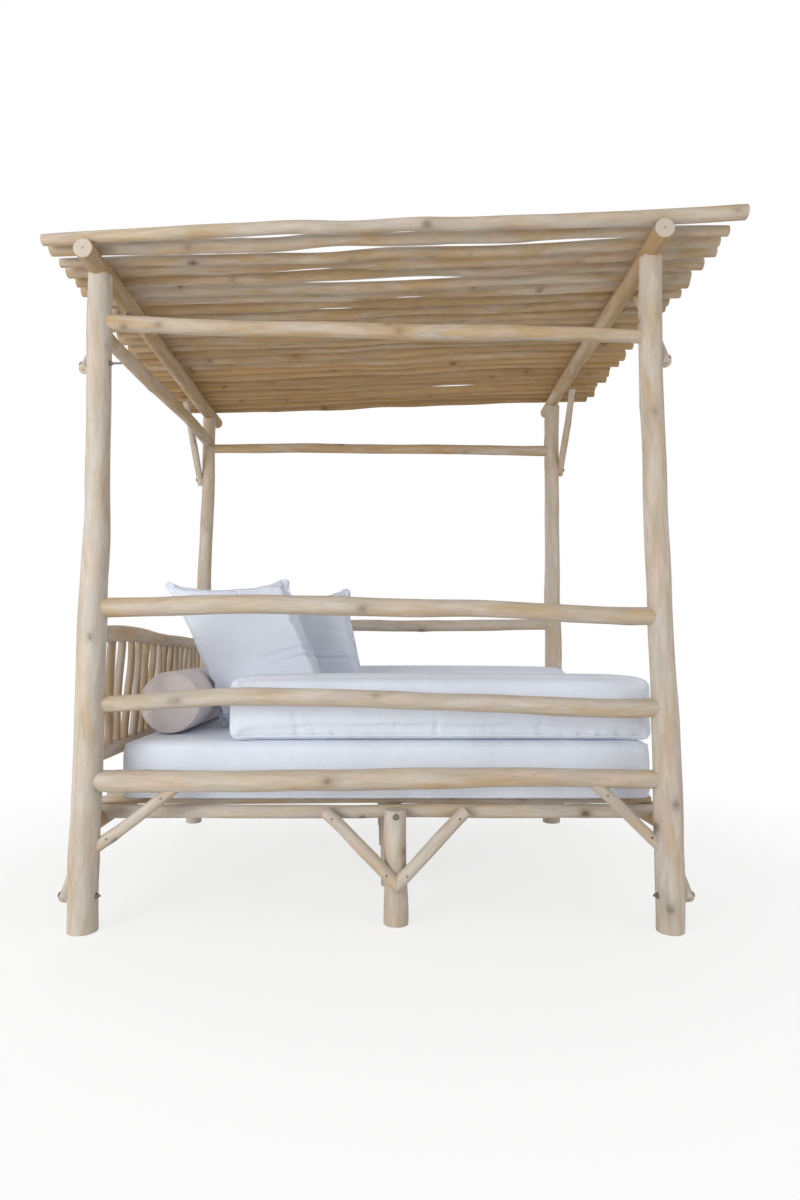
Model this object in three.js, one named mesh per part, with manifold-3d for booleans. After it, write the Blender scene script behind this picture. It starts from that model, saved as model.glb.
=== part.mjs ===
// A four-poster daybed of peeled poles with a slatted pole roof, millimetres, +Z up.
// -X is the head end with the spindle headboard, +X the open foot end, -Y the front.
import * as THREE from "three";
import { mergeVertices } from "three/addons/utils/BufferGeometryUtils.js";
import Module from "manifold-3d";

const wasm = await Module();
wasm.setup();

// Fits
const FIT = 0.3; // clearance between two pieces that seat on each other
const CUT_OVERRUN = 20; // how far a piece runs past the plane that trims it

// Posts
const POST_SPACING_LENGTH = 2000; // centre to centre, head to foot
const POST_SPACING_DEPTH = 1600; // centre to centre, front to rear
const HEAD_POST_HEIGHT = 2310;
const ROOF_RISE = 68; // the foot posts stand this much taller
const POST_BUTT = 49; // radius at the floor
const POST_TIP = 39; // radius under the roof
const POST_CROOK = 11;
const REAR_POST_LEAN = 50; // the rear posts lean this far to the foot end

// Roof
const BEAM_RADIUS = 34;
const BEAM_SADDLE = 12; // depth of the seat that each post top gives its beam
const BEAM_FRONT_OVERHANG = 150;
const BEAM_REAR_OVERHANG = 175;
const BEAM_CROOK = 5;
const ROOF_POLE_COUNT = 25;
const ROOF_POLE_BUTT = 25;
const ROOF_POLE_TIP = 18.5;
const ROOF_POLE_SADDLE = 4;
const ROOF_POLE_SWAY = 11; // sideways crook
const ROOF_POLE_LIFT = 12; // upward or downward crook
const ROOF_FRONT_OVERHANG = 120; // first pole's centre line in front of the posts
const ROOF_REAR_OVERHANG = 70;
const ROOF_HEAD_OVERHANG = 160; // pole ends past the head posts' centres
const ROOF_FOOT_OVERHANG = 275;
const ROOF_END_SCATTER = 16;

// Rails under the roof, on three sides: the foot side is left open
const UPPER_FRONT_RAIL_HEIGHT = 2109;
const UPPER_FRONT_RAIL_FALL = 56; // head end above foot end
const UPPER_REAR_RAIL_HEIGHT = 2121;
const UPPER_REAR_RAIL_FALL = 12;
const UPPER_RAIL_RADIUS = 27;
const UPPER_HEAD_RAIL_HEIGHT = 2112;
const UPPER_HEAD_RAIL_CLIMB = 48; // rear end above front end
const UPPER_HEAD_RAIL_RADIUS = 29;
const UPPER_HEAD_RAIL_CROOK = 10;
const UPPER_RAIL_CROOK = 8;
const SIDE_CROOK = 6;

// Guard rails, top, middle and base: heights at the head and the foot post, radius in
// the middle, crook, and the way that each one bends, in radians
const GUARD_RAILS = {
  front: {
    top: { head: 1102, foot: 1073, radius: 32.5, taperShare: -0.08, crook: 26, bend: 4.86 },
    middle: { head: 764, foot: 756, radius: 31, taperShare: 0.05, crook: 34, bend: 5.06 },
    base: { head: 506, foot: 506, radius: 35.5, taperShare: -0.1, crook: 9, bend: 3.3 },
  },
  rear: {
    top: { head: 1104, foot: 1104, radius: 32, taperShare: -0.05, crook: 9, bend: 7.9 },
    middle: { head: 770, foot: 770, radius: 33, taperShare: 0.12, crook: 9, bend: 2.8 },
    base: { head: 506, foot: 506, radius: 38, taperShare: -0.04, crook: 9, bend: 5.6 },
  },
};

// Headboard
const HEADBOARD_INSET = 15; // its plane inside the posts' centres
const HEADBOARD_TOP_HEIGHT = 1008;
const HEADBOARD_TOP_RADIUS = 28;
const HEADBOARD_TOP_CROOK = 16;
const HEADBOARD_FOOT_HEIGHT = 592;
const HEADBOARD_FOOT_RADIUS = 27;
const SPINDLE_COUNT = 15;
const SPINDLE_PITCH = 94;
const SPINDLE_RADIUS = 12;
const SPINDLE_CROOK = 4;
const SPINDLE_TENON = 14; // how far a spindle stands in the top rail

// Bed base
const SIDE_RAIL_HEIGHT = 354;
const SIDE_RAIL_RADIUS = 35;
const SIDE_RAIL_CROOK = 2;
const BEARER_HEIGHT = 375;
const BEARER_RADIUS = 24;
const BEARER_FROM_MIDDLE = 680;
const SLAT_COUNT = 17;
const SLAT_PITCH = 75;
const SLAT_RADIUS = 14;
const SLAT_NOTCH = 3;
const SLAT_PAST_RAIL = 22;
const SLAT_CROOK = 5;
const CENTRE_BEARER_RADIUS = 30;
const CENTRE_BEARER_BITE = 4;
const CENTRE_FROM_MIDDLE = 70; // the centre legs stand this far to the foot end

// Legs and braces
const LEG_RADIUS = 40;
const LEG_HEIGHT = 392;
const LEG_CROOK = 3;
const LEG_HOUSING = 10; // depth of the notch that takes the bearer
const INNER_LEG_FROM_MIDDLE = 310;
const INNER_LEG_SADDLE = 16;
const V_BRACE_RADIUS = 23;
const V_BRACE_TIP_HEIGHT = 128;
const V_BRACE_TOP_HEIGHT = 385;
const V_BRACE_REACH = 250;
const V_BRACE_BITE = 9;
const CORNER_BRACE_RADIUS = 21;
const CORNER_BRACE_FOOT = 252;
const CORNER_BRACE_REACH_HEAD = 336;
const CORNER_BRACE_REACH_FOOT = 272;
const KNEE_RADIUS = 18;
const KNEE_BITE = 9;
const KNEE_PAST_POST = 14; // a knee brace's end shows this far past the post's centre
const LOWER_KNEE_FOOT = 108;
const LOWER_KNEE_REACH = 265;
const UPPER_KNEE_DROPS = { front_head: 375, front_foot: 420, rear_head: 415, rear_foot: 425 };
const UPPER_KNEE_REACH = 285;
const UPPER_KNEE_TOP_DROP = 22;

// Cushions
const MATTRESS_LENGTH = 1930;
const MATTRESS_DEPTH = 1400;
const MATTRESS_THICKNESS = 208;
const MATTRESS_HEAD_GAP = 75; // from the head posts' centres
const MATTRESS_EDGE = 34;
const MATTRESS_CROWN = 3;
const BACK_CUSHION_LENGTH = 1535;
const BACK_CUSHION_DEPTH = 336;
const BACK_CUSHION_THICKNESS = 234;
const BACK_CUSHION_EDGE = 44;
const BACK_CUSHION_CROWN = 12;
const BACK_CUSHION_PULL = 8;
const BACK_CUSHION_PAST_POST = { front: 3, rear: -12 }; // from the foot posts' centres
const BOLSTER_RADIUS = 124;
const BOLSTER_LENGTH = 1120;
const BOLSTER_EDGE = 20;
const BOLSTER_END_CROWN = 9;
const BOLSTER_CROWN = 4;
const BOLSTER_FRONT = -510; // its front end, from the middle of the bed
const BOLSTER_HEAD_GAP = 76;
const PILLOW_WIDTH = 548;
const PILLOW_HEIGHT = 632;
const PILLOW_SEAM = 26; // thickness along the seam
const PILLOW_CROWN = 60;
const PILLOW_PULL = 24;
const FRONT_PILLOW_FROM_HEAD = 485;
const FRONT_PILLOW_FROM_MIDDLE = -195;
const FRONT_PILLOW_SLUMP = 290; // its top sags this far sideways onto the bolster
const FRONT_PILLOW_TILT = 20; // its right side is this much higher than its left
const FRONT_PILLOW_TURN_DEGREES = -6;
const FRONT_PILLOW_LEAN_DEGREES = 8;
const REAR_PILLOW_FROM_HEAD = 677;
const REAR_PILLOW_FROM_MIDDLE = 165;
const REAR_PILLOW_SLUMP = 144;
const REAR_PILLOW_TILT = 0;
const REAR_PILLOW_TURN_DEGREES = -9;
const REAR_PILLOW_LEAN_DEGREES = 8;

// Facets
const POST_SIDES = 10;
const POST_RINGS = 10;
const RAIL_SIDES = 8;
const RAIL_RINGS = 8;
const ROOF_POLE_RINGS = 8;
const SPINDLE_SIDES = 6;
const SPINDLE_RINGS = 2;
const SLAT_RINGS = 4;
const BRACE_RINGS = 3;
const BOLSTER_SIDES = 16;

// Growth of a pole, as shares of its own size
const TWIST = 3.4; // radians that a crook turns through along a pole
const THIRD_WAVE_SHARE = 0.3;
const SWELL_SHARE = 0.035;
const SWELL_WAVES = 9;

const headX = -POST_SPACING_LENGTH / 2;
const footX = POST_SPACING_LENGTH / 2;
const frontY = -POST_SPACING_DEPTH / 2;
const rearY = POST_SPACING_DEPTH / 2;

const WOOD = { color: 0xd3c6b0, roughness: 0.72 };
const WOOD_DEEP = { color: 0xb9a27d, roughness: 0.75 };
const WHITE_CLOTH = { color: 0xdfe0e4, roughness: 0.92 };
const SAND_CLOTH = { color: 0xc9bdb6, roughness: 0.92 };

const point = (x, y, z) => new THREE.Vector3(x, y, z);

// A closed geometry as a solid that can be joined and cut.
function solidFrom(geometry) {
  geometry.deleteAttribute("normal");
  geometry.deleteAttribute("uv");
  const merged = mergeVertices(geometry);
  return new wasm.Manifold(
    new wasm.Mesh({
      numProp: 3,
      vertProperties: merged.getAttribute("position").array,
      triVerts: new Uint32Array(merged.index.array),
    }),
  );
}

// The directions of a pole: along it, as near upwards as it can, and across.
function poleAxes(pole) {
  const along = pole.to.clone().sub(pole.from).normalize();
  const guide = Math.abs(along.z) > Math.SQRT1_2 ? point(1, 0, 0) : point(0, 0, 1);
  const up = guide.addScaledVector(along, -guide.dot(along)).normalize();
  const across = along.clone().cross(up);
  return { along, up, across };
}

// A pole's radius at a share of its length: an even taper with slight swellings.
function poleRadius(pole, share) {
  const taper = THREE.MathUtils.lerp(pole.startRadius, pole.endRadius, share);
  return taper * (1 + SWELL_SHARE * Math.sin(SWELL_WAVES * share + pole.bend));
}

// A point of a pole's centre line: a bow that turns round the pole as it goes, and
// that is on the straight line at the two shares where the pole is held.
function polePoint(pole, share) {
  const [first, last] = pole.heldShares ?? [0, 1];
  const arc = (Math.PI * (share - first)) / (last - first);
  const bow = Math.sin(arc) + THIRD_WAVE_SHARE * Math.sin(3 * arc);
  const turn = pole.bend + TWIST * share;
  const { up, across } = poleAxes(pole);
  return pole.from
    .clone()
    .lerp(pole.to, share)
    .addScaledVector(up, pole.lift * bow * Math.cos(turn))
    .addScaledVector(across, pole.sway * bow * Math.sin(turn));
}

// The pole's solid: a cylinder whose rings follow the crooked centre line. Grown, it
// is the tool that cuts this pole's seat, with its clearance, into a neighbour.
function poleSolid(pole, grow = 0) {
  const sides = pole.sides ?? RAIL_SIDES;
  const body = new THREE.CylinderGeometry(1, 1, 1, sides, pole.rings ?? RAIL_RINGS);
  const place = body.getAttribute("position");
  const { along, up, across } = poleAxes(pole);
  for (let i = 0; i < place.count; i += 1) {
    const share = place.getY(i) + 1 / 2;
    const radius = poleRadius(pole, share) + grow;
    const spot = polePoint(pole, share)
      .addScaledVector(along, 2 * place.getY(i) * grow)
      .addScaledVector(across, place.getX(i) * radius)
      .addScaledVector(up, place.getZ(i) * radius);
    place.setXYZ(i, spot.x, spot.y, spot.z);
  }
  return solidFrom(body);
}

// The pole less the seats of the poles it meets.
function fittedPole(pole, neighbours) {
  return neighbours.reduce(
    (solid, neighbour) => solid.subtract(poleSolid(neighbour, FIT)),
    poleSolid(pole),
  );
}

// Puts a solid into a group as a named mesh that has its origin at its own middle.
function addSolid(group, name, solid, look) {
  const made = solid.getMesh();
  const shared = new THREE.BufferGeometry()
    .setAttribute("position", new THREE.BufferAttribute(made.vertProperties, 3))
    .setIndex(new THREE.BufferAttribute(made.triVerts, 1));
  const geometry = shared.toNonIndexed();
  geometry.computeBoundingBox();
  const middle = geometry.boundingBox.getCenter(point(0, 0, 0));
  geometry.translate(-middle.x, -middle.y, -middle.z);
  geometry.computeVertexNormals();
  const mesh = new THREE.Mesh(geometry, new THREE.MeshStandardMaterial(look));
  mesh.name = name;
  mesh.position.copy(middle);
  group.add(mesh);
  return mesh;
}

// Posts: thickness as shares of the common post, and the way that each one bends
const POST_THICKNESS_SHARES = {
  front_head: 1.07,
  front_foot: 0.98,
  rear_head: 0.9,
  rear_foot: 1,
};
const POST_BENDS = { front_head: 4.6, front_foot: 6.1, rear_head: 3.9, rear_foot: 5.2 };

function postPole(side, end) {
  const name = `${side}_${end}`;
  const x = end === "head" ? headX : footX;
  const y = side === "front" ? frontY : rearY;
  const height = end === "head" ? HEAD_POST_HEIGHT : HEAD_POST_HEIGHT + ROOF_RISE;
  const lean = side === "rear" ? REAR_POST_LEAN : 0;
  const slope = lean / height;
  return {
    from: point(x - slope * CUT_OVERRUN, y, -CUT_OVERRUN),
    to: point(x + lean, y, height),
    startRadius: POST_BUTT * POST_THICKNESS_SHARES[name],
    endRadius: POST_TIP * POST_THICKNESS_SHARES[name],
    lift: POST_CROOK,
    sway: POST_CROOK,
    bend: POST_BENDS[name],
    rings: POST_RINGS,
    sides: POST_SIDES,
  };
}

const posts = {
  front_head: postPole("front", "head"),
  front_foot: postPole("front", "foot"),
  rear_head: postPole("rear", "head"),
  rear_foot: postPole("rear", "foot"),
};

// The share of a standing pole's length at a height, and its centre there.
const shareAtHeight = (pole, height) =>
  (height - pole.from.z) / (pole.to.z - pole.from.z);
const centreAtHeight = (pole, height) => polePoint(pole, shareAtHeight(pole, height));
const radiusAtHeight = (pole, height) => poleRadius(pole, shareAtHeight(pole, height));

// A rail between two posts, which meets their centre lines at two heights.
function railBetween(firstPost, lastPost, firstHeight, lastHeight, form) {
  const inset = point(form.inset ?? 0, 0, 0);
  return {
    from: centreAtHeight(firstPost, firstHeight).add(inset),
    to: centreAtHeight(lastPost, lastHeight).add(inset),
    startRadius: form.radius * (1 - form.taperShare),
    endRadius: form.radius * (1 + form.taperShare),
    lift: form.crook,
    sway: form.crook,
    bend: form.bend,
  };
}

// Roof beams: each lies in a saddle on a front and a rear post top and runs past both.
function beamPole(end, bend) {
  const rise = BEAM_RADIUS - BEAM_SADDLE;
  const front = posts[`front_${end}`].to.clone().add(point(0, 0, rise));
  const rear = posts[`rear_${end}`].to.clone().add(point(0, 0, rise));
  const along = rear.clone().sub(front).normalize();
  const reach = rear.distanceTo(front);
  const length = reach + BEAM_FRONT_OVERHANG + BEAM_REAR_OVERHANG;
  return {
    from: front.clone().addScaledVector(along, -BEAM_FRONT_OVERHANG),
    to: rear.clone().addScaledVector(along, BEAM_REAR_OVERHANG),
    startRadius: BEAM_RADIUS,
    endRadius: BEAM_RADIUS,
    lift: BEAM_CROOK,
    sway: BEAM_CROOK,
    bend,
    heldShares: [BEAM_FRONT_OVERHANG / length, 1 - BEAM_REAR_OVERHANG / length],
  };
}

const beams = { head: beamPole("head", 0.9), foot: beamPole("foot", 2.6) };

// The point of a front-to-rear pole's centre line, and its share, at a depth Y.
function crossingAt(pole, y) {
  const share = (y - pole.from.y) / (pole.to.y - pole.from.y);
  return { share, centre: polePoint(pole, share) };
}

// Roof poles: thick and thin ends take turns, and every one has its own crook.
function roofPole(index) {
  const startsThick = index % 2 === 1;
  const thick = ROOF_POLE_BUTT * (1 + 0.13 * Math.sin(2.4 * index));
  const thin = ROOF_POLE_TIP * (1 + 0.1 * Math.sin(1.7 * index + 1));
  const scatter = (wave) => ROOF_END_SCATTER * Math.sin(wave * index + wave);
  const depth = POST_SPACING_DEPTH + ROOF_FRONT_OVERHANG + ROOF_REAR_OVERHANG;
  const y = frontY - ROOF_FRONT_OVERHANG + (depth * index) / (ROOF_POLE_COUNT - 1);
  const fromX = headX - ROOF_HEAD_OVERHANG + scatter(3.1);
  const toX = footX + ROOF_FOOT_OVERHANG + scatter(1.9);
  const pole = {
    startRadius: startsThick ? thick : thin,
    endRadius: startsThick ? thin : thick,
    lift: ROOF_POLE_LIFT * Math.sin(2.1 * index + 0.5),
    sway: ROOF_POLE_SWAY * Math.sin(2.7 * index + 1.4),
    bend: 2.2 * index,
    rings: ROOF_POLE_RINGS,
  };
  const seats = [beams.head, beams.foot].map((beam) => {
    const { share, centre } = crossingAt(beam, y);
    const along = (centre.x - fromX) / (toX - fromX);
    const stack = poleRadius(beam, share) + poleRadius(pole, along) - ROOF_POLE_SADDLE;
    return { share: along, centre: centre.add(point(0, 0, stack)) };
  });
  const [first, last] = seats;
  const slope = (last.centre.z - first.centre.z) / (last.centre.x - first.centre.x);
  pole.from = point(fromX, y, first.centre.z + slope * (fromX - first.centre.x));
  pole.to = point(toX, y, first.centre.z + slope * (toX - first.centre.x));
  pole.heldShares = [first.share, last.share];
  return pole;
}

// Rails under the roof, which hold the posts apart
const upperRails = {
  front: railBetween(
    posts.front_head,
    posts.front_foot,
    UPPER_FRONT_RAIL_HEIGHT + UPPER_FRONT_RAIL_FALL / 2,
    UPPER_FRONT_RAIL_HEIGHT - UPPER_FRONT_RAIL_FALL / 2,
    { radius: UPPER_RAIL_RADIUS, taperShare: -0.08, crook: UPPER_RAIL_CROOK, bend: 2.9 },
  ),
  rear: railBetween(
    posts.rear_head,
    posts.rear_foot,
    UPPER_REAR_RAIL_HEIGHT + UPPER_REAR_RAIL_FALL / 2,
    UPPER_REAR_RAIL_HEIGHT - UPPER_REAR_RAIL_FALL / 2,
    { radius: UPPER_RAIL_RADIUS, taperShare: 0.06, crook: UPPER_RAIL_CROOK, bend: 5.1 },
  ),
  head: railBetween(
    posts.front_head,
    posts.rear_head,
    UPPER_HEAD_RAIL_HEIGHT,
    UPPER_HEAD_RAIL_HEIGHT + UPPER_HEAD_RAIL_CLIMB,
    {
      radius: UPPER_HEAD_RAIL_RADIUS,
      taperShare: 0.05,
      crook: UPPER_HEAD_RAIL_CROOK,
      bend: 4.6,
    },
  ),
};

// Guard rails: three on the front and three on the rear
function guardRails(side) {
  const [headPost, footPost] = [posts[`${side}_head`], posts[`${side}_foot`]];
  const rails = Object.entries(GUARD_RAILS[side]).map(([level, form]) => [
    level,
    railBetween(headPost, footPost, form.head, form.foot, form),
  ]);
  return Object.fromEntries(rails);
}

const guards = { front: guardRails("front"), rear: guardRails("rear") };

// Headboard: a humped top rail, a lower rail and spindles that stand in both
const headboardRail = (height, radius, crook, bend) =>
  railBetween(posts.front_head, posts.rear_head, height, height, {
    radius,
    taperShare: -0.08,
    crook,
    bend,
    inset: HEADBOARD_INSET,
  });
const headboardTop = headboardRail(
  HEADBOARD_TOP_HEIGHT,
  HEADBOARD_TOP_RADIUS,
  HEADBOARD_TOP_CROOK,
  0.2,
);
const headboardFoot = headboardRail(
  HEADBOARD_FOOT_HEIGHT,
  HEADBOARD_FOOT_RADIUS,
  SIDE_CROOK,
  3.6,
);

function spindle(index) {
  const y = SPINDLE_PITCH * (index - (SPINDLE_COUNT - 1) / 2);
  const top = crossingAt(headboardTop, y);
  const seat = poleRadius(headboardTop, top.share) - SPINDLE_TENON;
  return {
    from: crossingAt(headboardFoot, y).centre,
    to: top.centre.sub(point(0, 0, seat)),
    startRadius: SPINDLE_RADIUS * 1.04,
    endRadius: SPINDLE_RADIUS * (0.96 + 0.05 * Math.sin(2 * index)),
    lift: SPINDLE_CROOK,
    sway: SPINDLE_CROOK,
    bend: 1.9 * index,
    sides: SPINDLE_SIDES,
    rings: SPINDLE_RINGS,
  };
}

const spindles = Array.from({ length: SPINDLE_COUNT }, (_, index) => spindle(index));

// Bed base: side rails between the posts, with bearers and slats on them
function sideRail(end, bend) {
  const [front, rear] = [posts[`front_${end}`], posts[`rear_${end}`]];
  return railBetween(front, rear, SIDE_RAIL_HEIGHT, SIDE_RAIL_HEIGHT, {
    radius: SIDE_RAIL_RADIUS,
    taperShare: 0.04,
    crook: SIDE_RAIL_CROOK,
    bend,
  });
}
const sideRails = { head: sideRail("head", 1.6), foot: sideRail("foot", 4.7) };

const slatHeight = SIDE_RAIL_HEIGHT + SIDE_RAIL_RADIUS + SLAT_RADIUS - SLAT_NOTCH;

// A level stick of even thickness that only bends sideways
function levelStick(from, to, radius, bend, rings) {
  return {
    from,
    to,
    startRadius: radius,
    endRadius: radius,
    lift: 0,
    sway: SLAT_CROOK,
    bend,
    rings,
  };
}

function bearer(side) {
  const y = side === "front" ? -BEARER_FROM_MIDDLE : BEARER_FROM_MIDDLE;
  return levelStick(
    point(crossingAt(sideRails.head, y).centre.x, y, BEARER_HEIGHT),
    point(crossingAt(sideRails.foot, y).centre.x, y, BEARER_HEIGHT),
    BEARER_RADIUS,
    side === "front" ? 1 : 2,
    RAIL_RINGS,
  );
}

const bearers = { front: bearer("front"), rear: bearer("rear") };

const slats = Array.from({ length: SLAT_COUNT }, (_, index) => {
  const y = SLAT_PITCH * (index - (SLAT_COUNT - 1) / 2);
  const slat = levelStick(
    point(headX - SLAT_PAST_RAIL, y, slatHeight),
    point(footX + SLAT_PAST_RAIL, y, slatHeight),
    SLAT_RADIUS,
    2.5 * index,
    SLAT_RINGS,
  );
  return { ...slat, sides: SPINDLE_SIDES };
});

const centreBearer = levelStick(
  point(CENTRE_FROM_MIDDLE, -BEARER_FROM_MIDDLE, 0),
  point(CENTRE_FROM_MIDDLE, BEARER_FROM_MIDDLE, 0),
  CENTRE_BEARER_RADIUS,
  0,
  SLAT_RINGS,
);
const centreBearerDrop = SLAT_RADIUS + CENTRE_BEARER_RADIUS - CENTRE_BEARER_BITE;
centreBearer.from.z = slatHeight - centreBearerDrop;
centreBearer.to.z = slatHeight - centreBearerDrop;

const railsUnder = [sideRails.head, sideRails.foot];

// Legs under the middle: two outer ones, each joined to its bearer and to a V of
// braces, and two inner ones
const legFromMiddle = BEARER_FROM_MIDDLE + BEARER_RADIUS + LEG_RADIUS - LEG_HOUSING;

function legPole(y, top, bend) {
  return {
    from: point(CENTRE_FROM_MIDDLE, y, -CUT_OVERRUN),
    to: point(CENTRE_FROM_MIDDLE, y, top),
    startRadius: LEG_RADIUS * 1.04,
    endRadius: LEG_RADIUS * 0.96,
    lift: LEG_CROOK,
    sway: LEG_CROOK,
    bend,
    rings: BRACE_RINGS,
    sides: POST_SIDES,
  };
}

// A pole sawn off level with the floor
const standing = (solid) => solid.trimByPlane([0, 0, 1], 0);

function centreLeg(side, facing) {
  const leg = legPole(facing * legFromMiddle, LEG_HEIGHT, side === "front" ? 0.6 : 2.4);
  const footY = facing * (legFromMiddle + LEG_RADIUS + V_BRACE_RADIUS - V_BRACE_BITE);
  const topY = facing * (BEARER_FROM_MIDDLE + BEARER_RADIUS + V_BRACE_RADIUS + FIT);
  const braces = [-1, 1].map((way) => {
    const brace = {
      from: point(CENTRE_FROM_MIDDLE - way * V_BRACE_RADIUS, footY, V_BRACE_TIP_HEIGHT),
      to: point(CENTRE_FROM_MIDDLE + way * V_BRACE_REACH, topY, V_BRACE_TOP_HEIGHT),
      startRadius: V_BRACE_RADIUS,
      endRadius: V_BRACE_RADIUS,
      lift: LEG_CROOK,
      sway: LEG_CROOK,
      bend: 2 * way,
      rings: BRACE_RINGS,
    };
    const mitre = way * CENTRE_FROM_MIDDLE;
    return fittedPole(brace, [bearers[side]]).trimByPlane([way, 0, 0], mitre);
  });
  return braces.reduce(
    (whole, brace) => whole.add(brace),
    fittedPole(bearers[side], railsUnder).add(standing(poleSolid(leg))),
  );
}

function innerLeg(facing) {
  const top = centreBearer.from.z - CENTRE_BEARER_RADIUS + INNER_LEG_SADDLE;
  const leg = legPole(facing * INNER_LEG_FROM_MIDDLE, top, 3 + facing);
  return standing(fittedPole(leg, [centreBearer]));
}

// Corner braces: each runs from a post up to the base rail beside it
function cornerBrace(side, end) {
  const post = posts[`${side}_${end}`];
  const rail = guards[side].base;
  const inward = end === "head" ? 1 : -1;
  const reach = end === "head" ? CORNER_BRACE_REACH_HEAD : CORNER_BRACE_REACH_FOOT;
  const foot = centreAtHeight(post, CORNER_BRACE_FOOT);
  const share = (foot.x + inward * reach - rail.from.x) / (rail.to.x - rail.from.x);
  const brace = {
    from: foot,
    to: polePoint(rail, share),
    startRadius: CORNER_BRACE_RADIUS,
    endRadius: CORNER_BRACE_RADIUS * 0.94,
    lift: 0,
    sway: 0,
    bend: 1,
    rings: BRACE_RINGS,
  };
  return fittedPole(brace, [post, rail]);
}

// Knee braces: bolted to a post's outer face, one up to the beam and one to the side rail
function kneeBraces(side, end) {
  const post = posts[`${side}_${end}`];
  const outward = end === "head" ? -1 : 1;
  const inwardY = side === "front" ? 1 : -1;
  const from = (height) => {
    const spread = radiusAtHeight(post, height) + KNEE_RADIUS - KNEE_BITE;
    return centreAtHeight(post, height).add(point(outward * spread, -inwardY * KNEE_PAST_POST, 0));
  };
  const to = (rail, reach, shift) => {
    const { share, centre } = crossingAt(rail, post.from.y + inwardY * reach);
    const spread = poleRadius(rail, share) + KNEE_RADIUS + FIT;
    return centre.add(point(outward * spread, 0, shift));
  };
  const knee = (start, finish, bend) => ({
    from: start,
    to: finish,
    startRadius: KNEE_RADIUS * 1.05,
    endRadius: KNEE_RADIUS * 0.95,
    lift: 0,
    sway: 0,
    bend,
    rings: BRACE_RINGS,
  });
  const beam = beams[end];
  const beamHeight = post.to.z + BEAM_RADIUS - BEAM_SADDLE;
  const lower = knee(from(LOWER_KNEE_FOOT), to(sideRails[end], LOWER_KNEE_REACH, KNEE_RADIUS), 1);
  const upper = knee(
    from(beamHeight - UPPER_KNEE_DROPS[`${side}_${end}`]),
    to(beam, UPPER_KNEE_REACH, -UPPER_KNEE_TOP_DROP),
    4,
  );
  const passed = end === "head" ? [beam, upperRails.head] : [beam];
  return [fittedPole(lower, [sideRails[end]]), fittedPole(upper, passed)];
}

// Cushions

// Places of grid lines from end to end: one at each end's rounding, the rest even.
function gridPlace(line, lines, full, edge) {
  if (line === 0) return -full / 2;
  if (line === lines) return full / 2;
  const inner = (line - 1) / (lines - 2);
  return THREE.MathUtils.lerp(-full / 2 + edge, full / 2 - edge, inner);
}

// A box cushion or a pillow: a rounded slab, crowned above and below its seam, whose
// sides are pulled in between its corners, and that may slump and tilt.
function cushionGeometry(form) {
  const [columns, rows, layers] = form.grid;
  const { length, depth, thickness, edge } = form;
  const geometry = new THREE.BoxGeometry(1, 1, 1, columns, rows, layers);
  const place = geometry.getAttribute("position");
  const inner = point(length / 2 - edge, depth / 2 - edge, thickness / 2 - edge);
  for (let i = 0; i < place.count; i += 1) {
    const line = (value, lines) => Math.round((value + 1 / 2) * lines);
    const spot = point(
      gridPlace(line(place.getX(i), columns), columns, length, edge),
      gridPlace(line(place.getY(i), rows), rows, depth, edge),
      place.getZ(i) * thickness,
    );
    const core = spot.clone().clamp(inner.clone().negate(), inner);
    spot.sub(core).setLength(edge).add(core);
    const acrossX = Math.cos((Math.PI * spot.x) / length);
    const acrossY = Math.cos((Math.PI * spot.y) / depth);
    const dome = form.crown * Math.max(acrossX * acrossY, 0) ** form.fullnessShare;
    const level = (2 * spot.z) / thickness;
    const base = form.flatBase && spot.z < 0 ? 0 : level * dome;
    place.setXYZ(
      i,
      spot.x * (1 - (2 * form.pull * acrossY) / length) - form.slump * (spot.y / depth),
      spot.y * (1 - (2 * form.pull * acrossX) / depth) + form.tilt * (spot.x / length),
      spot.z + base,
    );
  }
  return geometry;
}

// A bolster: a barrel with rounded rims and slightly domed ends, along Y. Grown, it is
// the tool that cuts its seat into the pillow that sags onto it.
function bolsterGeometry(grow = 0) {
  const half = BOLSTER_LENGTH / 2 + grow;
  const radius = BOLSTER_RADIUS + grow;
  const cheek = half - BOLSTER_END_CROWN;
  const outline = [
    [0, half],
    [radius - BOLSTER_EDGE, cheek],
    [radius - BOLSTER_CROWN, cheek - BOLSTER_EDGE],
    [radius, half / 2],
  ];
  const lower = outline.map(([away, along]) => new THREE.Vector2(away, -along));
  const upper = outline.map(([away, along]) => new THREE.Vector2(away, along));
  return new THREE.LatheGeometry([...lower, ...upper.reverse()], BOLSTER_SIDES);
}

function softPiece(group, name, geometry, look) {
  return addSolid(group, name, solidFrom(geometry), look);
}

// The whole daybed
const daybed = new THREE.Group();
const [roof, frame, headboard, bed, cushions] = Array.from({ length: 5 }, () => {
  const group = new THREE.Group();
  daybed.add(group);
  return group;
});

for (let index = 0; index < ROOF_POLE_COUNT; index += 1) {
  const name = `roof_pole_${String(index + 1).padStart(2, "0")}`;
  addSolid(roof, name, fittedPole(roofPole(index), [beams.head, beams.foot]), WOOD);
}
for (const end of ["head", "foot"]) {
  addSolid(roof, `roof_beam_${end}`, poleSolid(beams[end]), WOOD_DEEP);
}

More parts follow.
